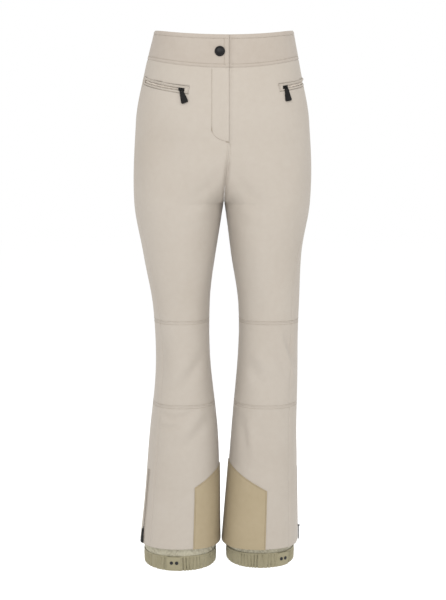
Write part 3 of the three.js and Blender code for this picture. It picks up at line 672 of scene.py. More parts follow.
def capsules(name: str, centres: Array, ways: Array, outs: Array, size: Sequence[float],
             dress: Material) -> Object:
    """Many small rounded bars, such as stitches or zip teeth, in one mesh.

    Args:
        name: Name of the piece.
        centres: Middle of each bar.
        ways: Direction of each bar.
        outs: Outward direction at each bar.
        size: Half length, half width and bow of a bar.
        dress: Its material.

    Returns:
        The new object.
    """
    half, radius, bow = size
    side = unit(np.cross(outs, ways))
    stations = np.array([-1.0, -0.86, -0.45, 0.0, 0.45, 0.86, 1.0])
    widths = np.array([0.35, 0.8, 1.0, 1.0, 1.0, 0.8, 0.35]) * radius
    lifts = bow * (1 - stations**2) - bow * 0.5
    turns = np.radians(np.arange(6) * 60.0)
    ring = np.stack([np.cos(turns), np.sin(turns)], -1)
    centre = centres[:, None] + ways[:, None] * (stations * half)[None, :, None]
    centre = centre + outs[:, None] * lifts[None, :, None]
    spread = side[:, None, None] * ring[None, None, :, :1] + outs[:, None, None] * ring[None, None, :, 1:]
    points = centre[:, :, None] + spread * widths[None, :, None, None]
    per_bar = len(stations) * 6
    numbers = np.arange(per_bar).reshape(-1, 6)
    quads = grid_faces(numbers, True)
    base = np.arange(len(centres))[:, None, None] * per_bar
    faces = (quads[None] + base).reshape(-1, 4).tolist()
    caps = np.stack([numbers[0][::-1], numbers[-1]])
    faces += (caps[None] + base).reshape(-1, 6).tolist()
    return build_mesh(name, points.reshape(-1, 3), faces, [dress])


def thread_along(name: str, line: Array, normals: Array, dress: Material, lift: float = 0.05) -> Object:
    """Row of stitches along a line of points on the cloth.

    Args:
        name: Name of the piece.
        line: Points in order.
        normals: Outward direction at each point.
        dress: The thread's material.
        lift: How far the stitches stand out of the line.

    Returns:
        The row of stitches, as one piece.
    """
    pitch = 3.4
    steps = np.concatenate([[0.0], np.cumsum(np.linalg.norm(np.diff(line, axis=0), axis=1))])
    middles = np.arange(pitch / 2, steps[-1], pitch)
    centres = np.stack([np.interp(middles, steps, line[:, i]) for i in range(3)], -1)
    ahead = np.stack([np.interp(middles + 0.5, steps, line[:, i]) for i in range(3)], -1)
    behind = np.stack([np.interp(middles - 0.5, steps, line[:, i]) for i in range(3)], -1)
    outs = unit(np.stack([np.interp(middles, steps, normals[:, i]) for i in range(3)], -1))
    return capsules(name, centres + outs * lift, unit(ahead - behind), outs, (1.35, 0.32, 0.3), dress)


def turned(name: str, profile: Sequence[tuple[float, float]], place: Frame, dress: Material) -> Object:
    """Round metal part from a profile of [radius, height] points, closed at its axis."""
    count = 48
    turns = np.linspace(0, 2 * np.pi, count, endpoint=False)
    rim = np.cos(turns)[:, None] * place.side + np.sin(turns)[:, None] * place.up
    inner = [p for p in profile if p[0] > 0]
    rings = [place.origin + rim * radius + place.out * height for radius, height in inner]
    points = np.concatenate(rings + [[place.origin + place.out * profile[0][1]],
                                     [place.origin + place.out * profile[-1][1]]])
    numbers = np.arange(count * len(inner)).reshape(-1, count)
    faces = grid_faces(numbers, True).tolist()
    low, high = count * len(inner), count * len(inner) + 1
    for i in range(count):
        faces.append([low, numbers[0][(i + 1) % count], numbers[0][i]])
        faces.append([numbers[-1][i], numbers[-1][(i + 1) % count], high])
    return build_mesh(name, points, faces, [dress])


def carve(piece: Object, cutter: Object) -> None:
    """Cuts one solid out of another and throws the cutter away."""
    modifier = piece.modifiers.new("opening", "BOOLEAN")
    modifier.operation = "DIFFERENCE"
    modifier.solver = "EXACT"
    modifier.object = cutter
    graph = bpy.context.evaluated_depsgraph_get()
    mesh = bpy.data.meshes.new_from_object(piece.evaluated_get(graph))
    piece.modifiers.clear()
    piece.data = mesh
    bpy.data.objects.remove(cutter)


# ------------------------------------------------------------------ finishes
class Weave(Enum):
    """Kinds of surface pattern that a cloth shows."""

    PLAIN = "plain"
    TWILL = "twill"
    RIB = "rib"


def linear(colour: Sequence[int]) -> tuple[float, float, float, float]:
    """Returns a display colour of 0 to 255 as linear light."""
    shares = [c / 255 for c in colour]
    return tuple(s / 12.92 if s <= 0.04045 else ((s + 0.055) / 1.055) ** 2.4 for s in shares) + (1.0,)


class Tree:
    """Node tree of one material."""

    def __init__(self, name: str) -> None:
        """Starts the material.

        Args:
            name: Name of the material.
        """
        self.material = bpy.data.materials.new(name)
        self.material.use_nodes = True
        self.nodes = self.material.node_tree.nodes
        self.shader = self.nodes["Principled BSDF"]

    def add(self, kind: str, settings: dict[str, object] | None = None, **inputs: object) -> bpy.types.Node:
        """Adds a node.

        Args:
            kind: The node's type name.
            settings: Properties of the node.
            inputs: Value or source socket of each input, with _ for a space.

        Returns:
            The node.
        """
        node = self.nodes.new(kind)
        for key, value in (settings or {}).items():
            setattr(node, key, value)
        for key, value in inputs.items():
            self.feed(node.inputs[key.replace("_", " ")], value)
        return node

    def feed(self, socket: Socket, value: object) -> None:
        """Sets a socket to a value, or links it to another socket."""
        if isinstance(value, bpy.types.NodeSocket):
            self.material.node_tree.links.new(value, socket)
        else:
            socket.default_value = value

    def noise(self, where: Socket, scale: float, detail: float = 3.0) -> Socket:
        """Returns the strength of a noise pattern."""
        node = self.add("ShaderNodeTexNoise", Vector=where, Scale=scale, Detail=detail)
        return node.outputs[0]

    def maths(self, operation: str, first: Socket | float, second: Socket | float) -> Socket:
        """Returns the result of one sum on two numbers."""
        node = self.add("ShaderNodeMath", {"operation": operation})
        self.feed(node.inputs[0], first)
        self.feed(node.inputs[1], second)
        return node.outputs[0]

    def bump(self, height: Socket, distance: float, before: Socket | None = None) -> Socket:
        """Returns a normal bent by a height pattern, on top of an earlier one."""
        node = self.add("ShaderNodeBump", Height=height, Distance=distance, Strength=1.0)
        if before is not None:
            self.feed(node.inputs["Normal"], before)
        return node.outputs[0]

    def blend_colours(self, share: Socket, first: Sequence[float], second: Sequence[float]) -> Socket:
        """Returns a colour between two, by a share from 0 to 1."""
        ramp = self.add("ShaderNodeValToRGB", Fac=share)
        ramp.color_ramp.elements[0].color = first
        ramp.color_ramp.elements[1].color = second
        ramp.color_ramp.elements[0].position = 0.3
        ramp.color_ramp.elements[1].position = 0.7
        return ramp.outputs[0]


@dataclass(frozen=True)
class ClothFinish:
    """Matt cloth with a fine weave, a soft nap and slightly uneven colour."""

    name: str
    light: tuple[int, int, int]
    dark: tuple[int, int, int]
    weave: Weave = Weave.TWILL
    pitch: float = 0.55
    relief: float = 0.05
    roughness: float = 0.82
    sheen: float = 0.12

    def make(self) -> Material:
        """Builds the material."""
        tree = Tree(self.name)
        place = tree.add("ShaderNodeTexCoord")
        body, cloth = place.outputs["Object"], place.outputs["UV"]
        cloud = tree.maths("ADD", tree.maths("MULTIPLY", tree.noise(body, 9.0), 0.65),
                           tree.maths("MULTIPLY", tree.noise(body, 95.0, 4.0), 0.35))
        tree.feed(tree.shader.inputs["Base Color"],
                  tree.blend_colours(cloud, linear(self.dark), linear(self.light)))
        rough = tree.add("ShaderNodeMapRange", Value=cloud, To_Min=self.roughness - 0.05,
                         To_Max=self.roughness + 0.05)
        tree.feed(tree.shader.inputs["Roughness"], rough.outputs[0])
        tree.shader.inputs["Sheen Weight"].default_value = self.sheen
        tree.shader.inputs["Sheen Roughness"].default_value = 0.45
        tree.shader.inputs["Specular IOR Level"].default_value = 0.25
        soft = tree.bump(tree.noise(body, 26.0, 4.0), 0.0007)
        nap = tree.bump(tree.noise(body, 1400.0, 2.0), 0.00006, soft)
        tree.feed(tree.shader.inputs["Normal"], tree.bump(self.threads(tree, cloth), self.relief * MM, nap))
        return tree.material

    def threads(self, tree: Tree, cloth: Socket) -> Socket:
        """Returns the height of the woven threads on the flat cloth."""
        scale = math.pi / self.pitch
        lean = {Weave.PLAIN: 0.0, Weave.TWILL: math.radians(38), Weave.RIB: 0.0}[self.weave]
        turn = tree.add("ShaderNodeMapping", Vector=cloth, Rotation=(0.0, 0.0, lean))
        wave = tree.add("ShaderNodeTexWave", {"bands_direction": "X"}, Vector=turn.outputs[0], Scale=scale)
        if self.weave is Weave.RIB:
            return wave.outputs["Fac"]
        across = tree.add("ShaderNodeTexWave", {"bands_direction": "Y"}, Vector=cloth, Scale=scale)
        return tree.maths("MULTIPLY", wave.outputs["Fac"], across.outputs["Fac"])


@dataclass(frozen=True)
class HardFinish:
    """Moulded rubber, plastic or painted metal, with fine grain and small marks."""

    name: str
    colour: tuple[int, int, int]
    metallic: float
    roughness: float
    grain: float = 900.0
    relief: float = 0.00003
    specular: float = 0.5

    def make(self) -> Material:
        """Builds the material."""
        tree = Tree(self.name)
        body = tree.add("ShaderNodeTexCoord").outputs["Object"]
        cloud = tree.noise(body, 160.0, 5.0)
        base = linear(self.colour)
        worn = tuple(min(1.0, c * 1.35 + 0.004) for c in base[:3]) + (1.0,)
        tree.feed(tree.shader.inputs["Base Color"], tree.blend_colours(cloud, base, worn))
        rough = tree.add("ShaderNodeMapRange", Value=cloud, To_Min=self.roughness - 0.07,
                         To_Max=self.roughness + 0.09)
        tree.feed(tree.shader.inputs["Roughness"], rough.outputs[0])
        tree.shader.inputs["Metallic"].default_value = self.metallic
        tree.shader.inputs["Specular IOR Level"].default_value = self.specular
        tree.feed(tree.shader.inputs["Normal"], tree.bump(tree.noise(body, self.grain, 3.0), self.relief))
        return tree.material


class Wardrobe:
    """Every finish of the garment, made once."""

    def __init__(self) -> None:
        """Makes the materials."""
        self.shell = ClothFinish("shell_softshell", (174, 166, 156), (169, 160, 149)).make()
        self.band = ClothFinish("band_softshell", (169, 160, 150), (163, 153, 142)).make()
        self.guard = ClothFinish("guard_nylon", (161, 147, 121), (153, 139, 112), Weave.PLAIN, 0.8, 0.09,
                                 0.62, 0.05).make()
        self.lining = ClothFinish("lining_taffeta", (176, 167, 154), (168, 157, 143), Weave.PLAIN, 0.4,
                                  0.02, 0.6, 0.1).make()
        self.gaiter = ClothFinish("gaiter_nylon", (180, 175, 156), (162, 156, 135), Weave.PLAIN, 0.5, 0.03,
                                  0.55, 0.1).make()
        self.elastic = ClothFinish("gaiter_elastic", (152, 145, 120), (136, 129, 104), Weave.RIB, 1.1, 0.12,
                                   0.75, 0.1).make()
        # The zip tape is paler than the shell partly as its own colour and partly as painted light that
        # offsets the shade in the slots where it lies.
        self.tape = ClothFinish("zip_tape", (226, 217, 205), (218, 208, 195), Weave.RIB, 0.9, 0.08, 0.7,
                                0.05).make()
        # The thread and guard thread are darker than their cloth partly as their own colour and partly as
        # painted shade standing in for the shadow along each stitch line.
        self.thread = ClothFinish("thread", (158, 148, 134), (151, 140, 126), Weave.RIB, 0.3, 0.03, 0.6,
                                  0.05).make()
        self.guard_thread = ClothFinish("guard_thread", (140, 127, 101), (132, 119, 94), Weave.RIB, 0.3,
                                        0.03, 0.6, 0.05).make()
        self.coil = HardFinish("zip_coil", (180, 171, 160), 0.0, 0.5).make()
        self.metal = HardFinish("slider_metal", (16, 15, 13), 0.3, 0.45, specular=0.3).make()
        self.rubber = HardFinish("pull_rubber", (9, 8, 7), 0.0, 0.65, 500.0, 0.00008, 0.2).make()
        self.black = HardFinish("snap_black", (5, 4, 5), 0.0, 0.38, specular=0.2).make()
        self.gunmetal = HardFinish("gunmetal", (46, 46, 47), 0.9, 0.3).make()


# ------------------------------------------------------------------ cloth panels
NEAR_EDGE = (0.0, 0.5, 1.2, 2.2, 3.4, 4.8, 6.0, 7.0, 8.0, 9.4, 11.4)


@dataclass(frozen=True)
class Edge:
    """How one edge of a panel is sewn: with or without a line of stitches beside it."""

    stitched: float = 0.0
    sunk: float = 0.9
    depth: float = 1.3

    def relief(self, distance: Array) -> Array:
        """Returns how far the cloth stands out at distances from this edge."""
        rolled = -self.sunk * np.exp(-((distance / self.depth) ** 2))
        if not self.stitched:
            return rolled
        groove = -0.42 * np.exp(-(((distance - self.stitched) / 1.1) ** 2))
        puff = 0.3 * np.exp(-(((distance - self.stitched / 2) / (self.stitched / 3)) ** 2))
        return rolled + groove + puff


PLAIN_EDGE = Edge()
STITCHED = Edge(stitched=3.0)
FLAT_EDGE = Edge(sunk=0.0)
STITCH_LINE = Edge(sunk=0.35, depth=1.0)
FOLDED = Edge(sunk=0.6, depth=1.0)


def seam_relief(points: Array, edges: tuple[Edge, Edge, Edge, Edge], pucker: float) -> Array:
    """Rise of the cloth from its seams, stitch grooves and puckers.

    Args:
        points: Grid of points, in rows from the top down.
        edges: How the start, the end, the top and the foot are sewn.
        pucker: Height of the small puckers beside the seams.

    Returns:
        The rise at each point, in millimetres.
    """
    across = np.linalg.norm(np.diff(points, axis=1), axis=-1)
    u = np.concatenate([np.zeros((len(points), 1)), np.cumsum(across, axis=1)], axis=1)
    along = np.linalg.norm(np.diff(points, axis=0), axis=-1)
    v = np.concatenate([np.zeros((1, points.shape[1])), np.cumsum(along, axis=0)], axis=0)
    start, end, top, foot = edges
    right, low = u[:, -1:] - u, v[-1:] - v
    total = start.relief(u) + end.relief(right) + top.relief(v) + foot.relief(low)
    total += pucker * np.sin(v / 2.6 + 2 * np.sin(v / 9)) * (np.exp(-u / 7) + np.exp(-right / 7))
    total += pucker * np.sin(u / 2.4 + 2 * np.sin(u / 11)) * (np.exp(-v / 7) + np.exp(-low / 7))
    return total


@dataclass(frozen=True)
class Patch:
    """Area of one leg's surface between two angles and two heights."""

    leg: Leg
    top: Callable[[Array], Array]
    foot: Callable[[Array], Array]
    start: Callable[[Array], Array]
    end: Callable[[Array], Array]
    edges: tuple[Edge, Edge, Edge, Edge] = (PLAIN_EDGE, PLAIN_EDGE, PLAIN_EDGE, PLAIN_EDGE)
    out: float = 0.0
    thickness: float = FABRIC
    coarse: float = 4.2
    pucker: float = 0.16
    level_below: float | None = None
    extra_levels: tuple[float, ...] = ()
    tuck: Callable[[Array], Array] | None = None
    drawn: Callable[[Array], Array] | None = None

    def height(self, angle: Array, down: Array, high: float, low: float) -> Array:
        """Returns the height at an angle, a share of the way down the patch."""
        if self.level_below is None:
            return self.top(angle) + (self.foot(angle) - self.top(angle)) * down
        nominal = high + (low - high) * down
        fade = np.clip((nominal - self.level_below) / (high - self.level_below), 0.0, 1.0)
        return nominal + (self.top(angle) - high) * fade

    def grid(self) -> tuple[Array, Array]:
        """Angle and height of each point of the patch, in rows from the top down."""
        middle = float(self.start(BAND_MIDDLE_Z) + self.end(BAND_MIDDLE_Z)) / 2
        high, low = float(self.top(middle)), float(self.foot(middle))
        centre = (high + low) / 2
        line = self.leg.bare(np.linspace(self.start(centre), self.end(centre), 40), centre)[0]
        wide = np.linalg.norm(np.diff(line, axis=0), axis=1).sum()
        down = spaced(high - low, NEAR_EDGE, self.coarse)
        extra = [(high - z) / (high - low) for z in self.extra_levels]
        down = np.unique(np.concatenate([down, extra]))
        gaps = np.append(np.diff(down) * (high - low) > 0.25, True)
        down = down[gaps][:, None]
        across = spaced(wide, NEAR_EDGE, self.coarse)[None, :]
        edges = []
        for rule in (self.start, self.end):
            angle = rule(high + (low - high) * down)
            for _ in range(4):
                angle = rule(self.height(angle, down, high, low))
            edges.append(angle)
        angle = edges[0] + (edges[1] - edges[0]) * across
        return angle, self.height(angle, down, high, low)

    def surfaces(self) -> tuple[Array, Array, Array]:
        """Returns the pattern's own grid, the outer grid and the inner grid."""
        angle, z = self.grid()
        bare = self.leg.bare(angle, z)[0]
        relief = seam_relief(bare, self.edges, self.pucker)
        tuck = self.tuck(bare) if self.tuck else 0.0
        outer = self.leg.skin(angle, z, self.out + relief + tuck)[0]
        inner = self.leg.skin(angle, z, self.out + tuck - self.thickness)[0]
        if self.drawn:
            outer[..., 1] += self.drawn(bare)
            inner[..., 1] += self.drawn(bare)
        return bare, outer, inner

    def sew(self, name: str, dress: Sequence[Material], held: str = "hung",
            rests_on: Sequence[str] = (), area_share: float = 1.0) -> Object:
        """Makes the patch as a closed layer of cloth."""
        bare, outer, inner = self.surfaces()
        piece = shell(name, outer, inner, dress)
        return piece


def level(z: float) -> Callable[[Array], Array]:
    """Returns a rule that gives one height, or one angle, everywhere."""
    return lambda value: np.full(np.shape(value), z) if np.shape(value) else np.float64(z)


def trail(leg: Leg, angle: Array, z: Array, out: float = -0.2) -> tuple[Array, Array]:
    """Returns a line of points and normals on the hanging cloth."""
    angle, z = np.broadcast_arrays(np.asarray(angle, float), np.asarray(z, float))
    return leg.skin(angle, z, out)


def shifted(leg: Leg, angle: Array, z: Array, distance: float) -> Array:
    """Returns the angles that lie a distance along the surface past the given ones."""
    one = leg.bare(angle, z)[0]
    other = leg.bare(np.asarray(angle) + 0.5, z)[0]
    return angle + 0.5 * distance / np.linalg.norm(other - one, axis=-1)


class Maker:
    """Shared ways of placing finished pieces."""

    def __init__(self, wardrobe: Wardrobe) -> None:
        """Keeps the finishes.

        Args:
            wardrobe: Every material.
        """
        self.wardrobe = wardrobe

    def settle(self, piece: Object, body: str, slot: str, *nodes: str) -> Object:
        """Puts a piece on a body, in place of solids of the model."""
        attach(piece, body)
        return self.stand_for(piece, slot, *nodes)

    def bend(self, piece: Object, leg: Leg, slot: str, *nodes: str) -> Object:
        """Bakes a piece's transform, in place of solids of the model."""
        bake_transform(piece)
        return self.stand_for(piece, slot, *nodes)

    @staticmethod
    def stand_for(piece: Object, slot: str, *nodes: str) -> Object:
        """Hides the solids of the model that a piece stands for."""
        if nodes:
            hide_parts(*nodes)
        return piece

    def stitch(self, name: str, line: tuple[Array, Array], body: str,
               thread: Material | None = None) -> Object:
        """Sews one row of stitches that rides on a body."""
        piece = thread_along(name, line[0], line[1], thread or self.wardrobe.thread)
        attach(piece, body)
        return piece

    def dress_node(self, node: str, material: Material, bevel: float = 0.0) -> None:
        """Gives a solid of the model its finish, with softened corners."""
        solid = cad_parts[node]
        solid.data.materials.clear()
        solid.data.materials.append(material)
        if bevel:
            soft = solid.modifiers.new("softened", "BEVEL")
            soft.width = bevel * MM
            soft.segments = 3
            soft.limit_method = "ANGLE"
            soft.angle_limit = math.radians(35)
            soft.harden_normals = False


# ------------------------------------------------------------------ waistband and fly
def fly_levels() -> tuple[float, ...]:
    """Returns heights that follow the curve of the fly's stitch line closely."""
    turns = np.radians(np.arange(6, 90, 4))
    return tuple(FLY_BOTTOM_Z + FLY_CURVE_HEIGHT * (1 - np.sin(turns)))


def crotch_levels() -> tuple[float, ...]:
    """Returns heights that grow close together towards the crotch."""
    turns = np.linspace(0, np.pi / 2, 26)
    return tuple(CROTCH_Z + (FLY_BOTTOM_Z - CROTCH_Z) * (1 - np.sin(turns)))


def under_band(angle: Array) -> Array:
    """Returns the height of the seam under the waistband, from the panels' side."""
    return band_foot(angle) - BUTT


def tuck_under_fly(points: Array) -> Array:
    """Returns how far the left side sinks where the fly lies over it."""
    past = np.maximum(points[..., 0] - middle_x(points[..., 2]), 0.0)
    level_share = smoothstep(FLY_BOTTOM_Z - 14, FLY_BOTTOM_Z + 4, points[..., 2])
    return -2.7 * np.exp(-((past / 7.0) ** 2)) * level_share


def centre_crease(points: Array) -> Array:
    """Returns how far back the cloth is drawn along the centre seam above the crotch."""
    past = points[..., 0] - middle_x(points[..., 2])
    deep = smoothstep(FLY_BOTTOM_Z - 8, FLY_BOTTOM_Z - 60, points[..., 2])
    front = smoothstep(10.0, -10.0, points[..., 1])
    return 5.0 * np.exp(-((past / 4.5) ** 2)) * deep * front


@dataclass
class Waist:
    """Waistband, its overlapping tab and the snap that closes it."""

    maker: Maker
    thickness: float = 3.5
    tab_thickness: float = 2.6
    top_stitch: float = 8.0
    foot_stitch: float = 6.5
    tab_stitch: float = 9.0
    hinge_length: float = 6.0
    overlap: float = 3.0
    underlap_depth: float = 7.6
    underlap_thickness: float = 2.6
    snap_radius: float = 10.0
    snap_from_edge: float = 17.5
    snap_drop: float = 32.0

    def build(self) -> None:
        """Makes the whole waistband."""
        self.make_bands()
        self.make_back()
        self.make_tab()
        self.make_stitches()
        self.make_snap()

    @property
    def hinge_angle(self) -> float:
        """Angle where the tab joins the right band."""
        return float(RIGHT.angle_at(FLY_WIDTH, BAND_MIDDLE_Z))

    def edges(self, start: Edge, end: Edge) -> tuple[Edge, Edge, Edge, Edge]:
        """Returns the band's edges: a turned top with stitches, and a stitched lower seam."""
        return start, end, Edge(self.top_stitch, 0.9, 1.6), Edge(self.foot_stitch, 0.9, 1.3)

    def band(self, leg: Leg, start: float, end: float, edges: tuple[Edge, Edge, Edge, Edge]) -> Patch:
        """Returns one stretch of the band on one side."""
        return Patch(leg, band_top, band_foot, level(start), level(end), edges,
                     thickness=self.thickness, coarse=3.4)

    def make_bands(self) -> None:
        """Makes the two front bands, and the underlap behind the tab."""
        w = self.maker.wardrobe
        right = self.band(RIGHT, self.hinge_angle, 180.0, self.edges(FLAT_EDGE, PLAIN_EDGE))
        piece = right.sew("waistband_right_front_cloth", [w.band, w.lining], "stretched")
        self.maker.settle(piece, "root", "waistband_fabric", "waistband_right_front")
        hidden = float(LEFT.angle_at(-self.overlap, BAND_MIDDLE_Z))
        left = self.band(LEFT, hidden, 180.0, self.edges(FLAT_EDGE, PLAIN_EDGE))
        left = replace(left, tuck=self.tuck)
        piece = left.sew("waistband_left_front_cloth", [w.band, w.lining], "stretched")
        self.maker.settle(piece, "root", "waistband_fabric", "waistband_left_front")
        lap = Patch(RIGHT, lambda a: band_top(a) - 0.5, lambda a: band_foot(a) + 0.5,
                    level(float(RIGHT.angle_at(BUTT / 2, BAND_MIDDLE_Z)) - 1.5), level(self.hinge_angle - 1),
                    (PLAIN_EDGE, STITCHED, STITCHED, STITCHED), -self.underlap_depth,
                    self.underlap_thickness, 3.4)
        piece = lap.sew("waistband_underlap", [w.band, w.lining], "stretched")
        self.maker.settle(piece, "root", "waistband_fabric")

    @staticmethod
    def tuck(points: Array) -> Array:
        """Returns how far the left band sinks beneath the tab's edge."""
        past = np.maximum(points[..., 0] - middle_x(points[..., 2]), 0.0)
        return -3.4 * np.exp(-((past / 7.0) ** 2))

    def back_grid(self, down: Array, out: Array | float) -> Array:
        """Returns points of the back band from the right side seam round to the left."""
        angle = np.linspace(180.0, 270.0, 60)
        rows = []
        for leg, turn in ((RIGHT, angle[:-1]), (LEFT, angle[::-1])):
            z = band_top(turn) + (band_foot(turn) - band_top(turn)) * down[:, None]
            rows.append(leg.bare(np.broadcast_to(turn, z.shape), z))
        points = np.concatenate([r[0] for r in rows], axis=1)
        return points + np.concatenate([r[1] for r in rows], axis=1) * np.asarray(out)[..., None]

    def make_back(self) -> None:
        """Makes the back band, gathered a little by its elastic."""
        w = self.maker.wardrobe
        down = spaced(BAND_SIDE_HEIGHT, NEAR_EDGE, 3.0)
        bare = self.back_grid(down, 0.0)
        relief = seam_relief(bare, self.edges(PLAIN_EDGE, PLAIN_EDGE), 0.16)
        piece = shell("waistband_back_cloth", self.back_grid(down, relief),
                      self.back_grid(down, -self.thickness), [w.band, w.lining])
        self.maker.settle(piece, "root", "waistband_fabric", "waistband_back")
        for name, height in (("top", self.top_stitch), ("foot", BAND_SIDE_HEIGHT - self.foot_stitch + 1)):
            line = self.back_grid(np.array([height / (BAND_SIDE_HEIGHT + 0.5)]), -0.2)[0]
            outs = unit(line - self.back_grid(np.array([height / (BAND_SIDE_HEIGHT + 0.5)]), -1.2)[0])
            self.maker.stitch(f"waistband_back_{name}_stitches", (line, outs), "root")

    def bend_at_hinge(self, piece: Object) -> Object:
        """Bakes a piece of the tab into place; the hinge and its direction are worked out but not used."""
        hinge = RIGHT.bare(self.hinge_angle, BAND_MIDDLE_Z)[0]
        way = unit(RIGHT.bare(self.hinge_angle - 4.0, BAND_MIDDLE_Z)[0] - hinge)
        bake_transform(piece)
        return piece

    def make_tab(self) -> None:
        """Makes the tab that closes over the underlap."""
        w = self.maker.wardrobe
        start = float(RIGHT.angle_at(BUTT / 2, BAND_MIDDLE_Z))
        edges = self.edges(Edge(self.tab_stitch, 0.7, 1.1), FLAT_EDGE)
        tab = Patch(RIGHT, band_top, band_foot, level(start), level(self.hinge_angle), edges,
                    thickness=self.tab_thickness, coarse=2.4)
        piece = self.bend_at_hinge(tab.sew("waistband_tab_cloth", [w.band, w.lining]))
        self.maker.stand_for(piece, "waistband_fabric", "waistband_tab")
        z = np.linspace(-WAIST_FRONT_DIP - self.top_stitch, float(band_foot(90.0)) + self.foot_stitch, 40)
        line = trail(RIGHT, RIGHT.angle_at(self.tab_stitch, z), z)
        self.maker.stitch("waistband_tab_edge_stitches", line, "fly_flap")

    def make_stitches(self) -> None:
        """Sews the two rows of stitches round the front of the band."""
        start = float(RIGHT.angle_at(1.5, BAND_MIDDLE_Z))
        left = float(LEFT.angle_at(5.0, BAND_MIDDLE_Z))
        runs = (("tab", RIGHT, start, self.hinge_angle, "fly_flap"),
                ("right", RIGHT, self.hinge_angle, 179.0, "root"), ("left", LEFT, left, 179.0, "root"))
        for name, leg, low, high, body in runs:
            angle = np.linspace(low, high, 120)
            rows = (("top", band_top(angle) - self.top_stitch), ("foot", band_foot(angle) + self.foot_stitch))
            for row, z in rows:
                tuck = self.tuck(leg.bare(angle, z)[0]) if leg is LEFT else 0.0
                line = trail(leg, angle, z, -0.2 + tuck)
                if body == "root":
                    self.maker.stitch(f"waistband_{name}_{row}_stitches", line, body)
                    continue
                thread = thread_along(f"waistband_{name}_{row}_stitches", *line, self.maker.wardrobe.thread)
                self.bend_at_hinge(thread)

    def make_snap(self) -> None:
        """Makes the cap, the socket and the stud of the snap."""
        w = self.maker.wardrobe
        z = float(band_top(90.0)) - self.snap_drop
        angle = float(RIGHT.angle_at(self.snap_from_edge, z))
        r = self.snap_radius
        profile = ((0, 0.2), (r - 0.5, 0.2), (r, 0.8), (r - 0.1, 1.5), (r - 0.7, 2.1), (r - 1.5, 2.3),
                   (r - 2.1, 2.2), (r - 2.5, 2.0), (r - 3.0, 2.3), (r * 0.5, 2.85), (r * 0.2, 3.1), (0, 3.15))
        cap = turned("waist_snap_cap_metal", profile, RIGHT.frame(angle, z), w.black)
        self.maker.settle(cap, "fly_flap", "black_metal", "waist_snap_cap")
        self.maker.dress_node("waist_snap_socket", w.gunmetal, 0.2)
        self.maker.dress_node("waist_snap_stud", w.gunmetal, 0.15)


# Zip tape and coil, measured across the zip and out of the cloth.
TAPE_HALF = 9.0
TAPE_THICKNESS = 0.8
TAPE_TOP = -6.2
COIL_HALF = 1.8
COIL_TOP = -1.3
SLOT_HALF = 3.1


def bar(low: float, high: float, bottom: float, top: float, radius: float = 0.0) -> Array:
    """Returns a rectangle of [up, out] points, with rounded corners if it has a radius."""
    if not radius:
        return np.array([(low, bottom), (high, bottom), (high, top), (low, top)], float)
    points = []
    corners = ((high - radius, bottom + radius, -90), (high - radius, top - radius, 0),
               (low + radius, top - radius, 90), (low + radius, bottom + radius, 180))
    for x, y, first in corners:
        for turn in np.radians(first + np.arange(0, 91, 22.5)):
            points.append((x + radius * math.cos(turn), y + radius * math.sin(turn)))
    return np.array(points)


def zip_outline(half: float, top: float) -> Array:
    """Returns the outline of a tape of some half width and level, with the cord under its coil."""
    low = top - TAPE_THICKNESS
    cord = COIL_TOP - 0.9
    return np.array([(-half, low), (half, low), (half, top), (COIL_HALF - 0.3, top),
                     (COIL_HALF - 0.5, cord), (0.25, cord), (0.0, cord - 0.4), (-0.25, cord),
                     (0.5 - COIL_HALF, cord), (0.3 - COIL_HALF, top), (-half, top)])


@dataclass
class Zip:
    """One zip: its tape and the turns of its coil."""

    maker: Maker
    name: str
    track: Arc | Line
    start: float
    end: float
    body: str
    pitch: float = 1.3
    tape_half: float = TAPE_HALF
    tape_top: float = TAPE_TOP

    def build(self) -> None:
        """Makes the tape and the coil in place of the model's zip."""
        w = self.maker.wardrobe
        frames = self.track.frames(np.linspace(self.start, self.end, 40))
        tape = sweep(f"{self.name}_tape", zip_outline(self.tape_half, self.tape_top), frames, [w.tape])
        self.maker.settle(tape, self.body, "zip_coil", self.name)
        turns = self.track.frames(np.arange(self.start + 1, self.end - 1, self.pitch))
        centres = turns.origin + turns.out * (COIL_TOP - 0.5)
        lean = unit(turns.up + 0.22 * turns.along)
        coil = capsules(f"{self.name}_coil", centres, lean, turns.out, (COIL_HALF + 0.33, 0.5, 0.12), w.coil)
        self.maker.settle(coil, self.body, "zip_coil")
        LOG.info("%s: %d turns", self.name, len(centres))


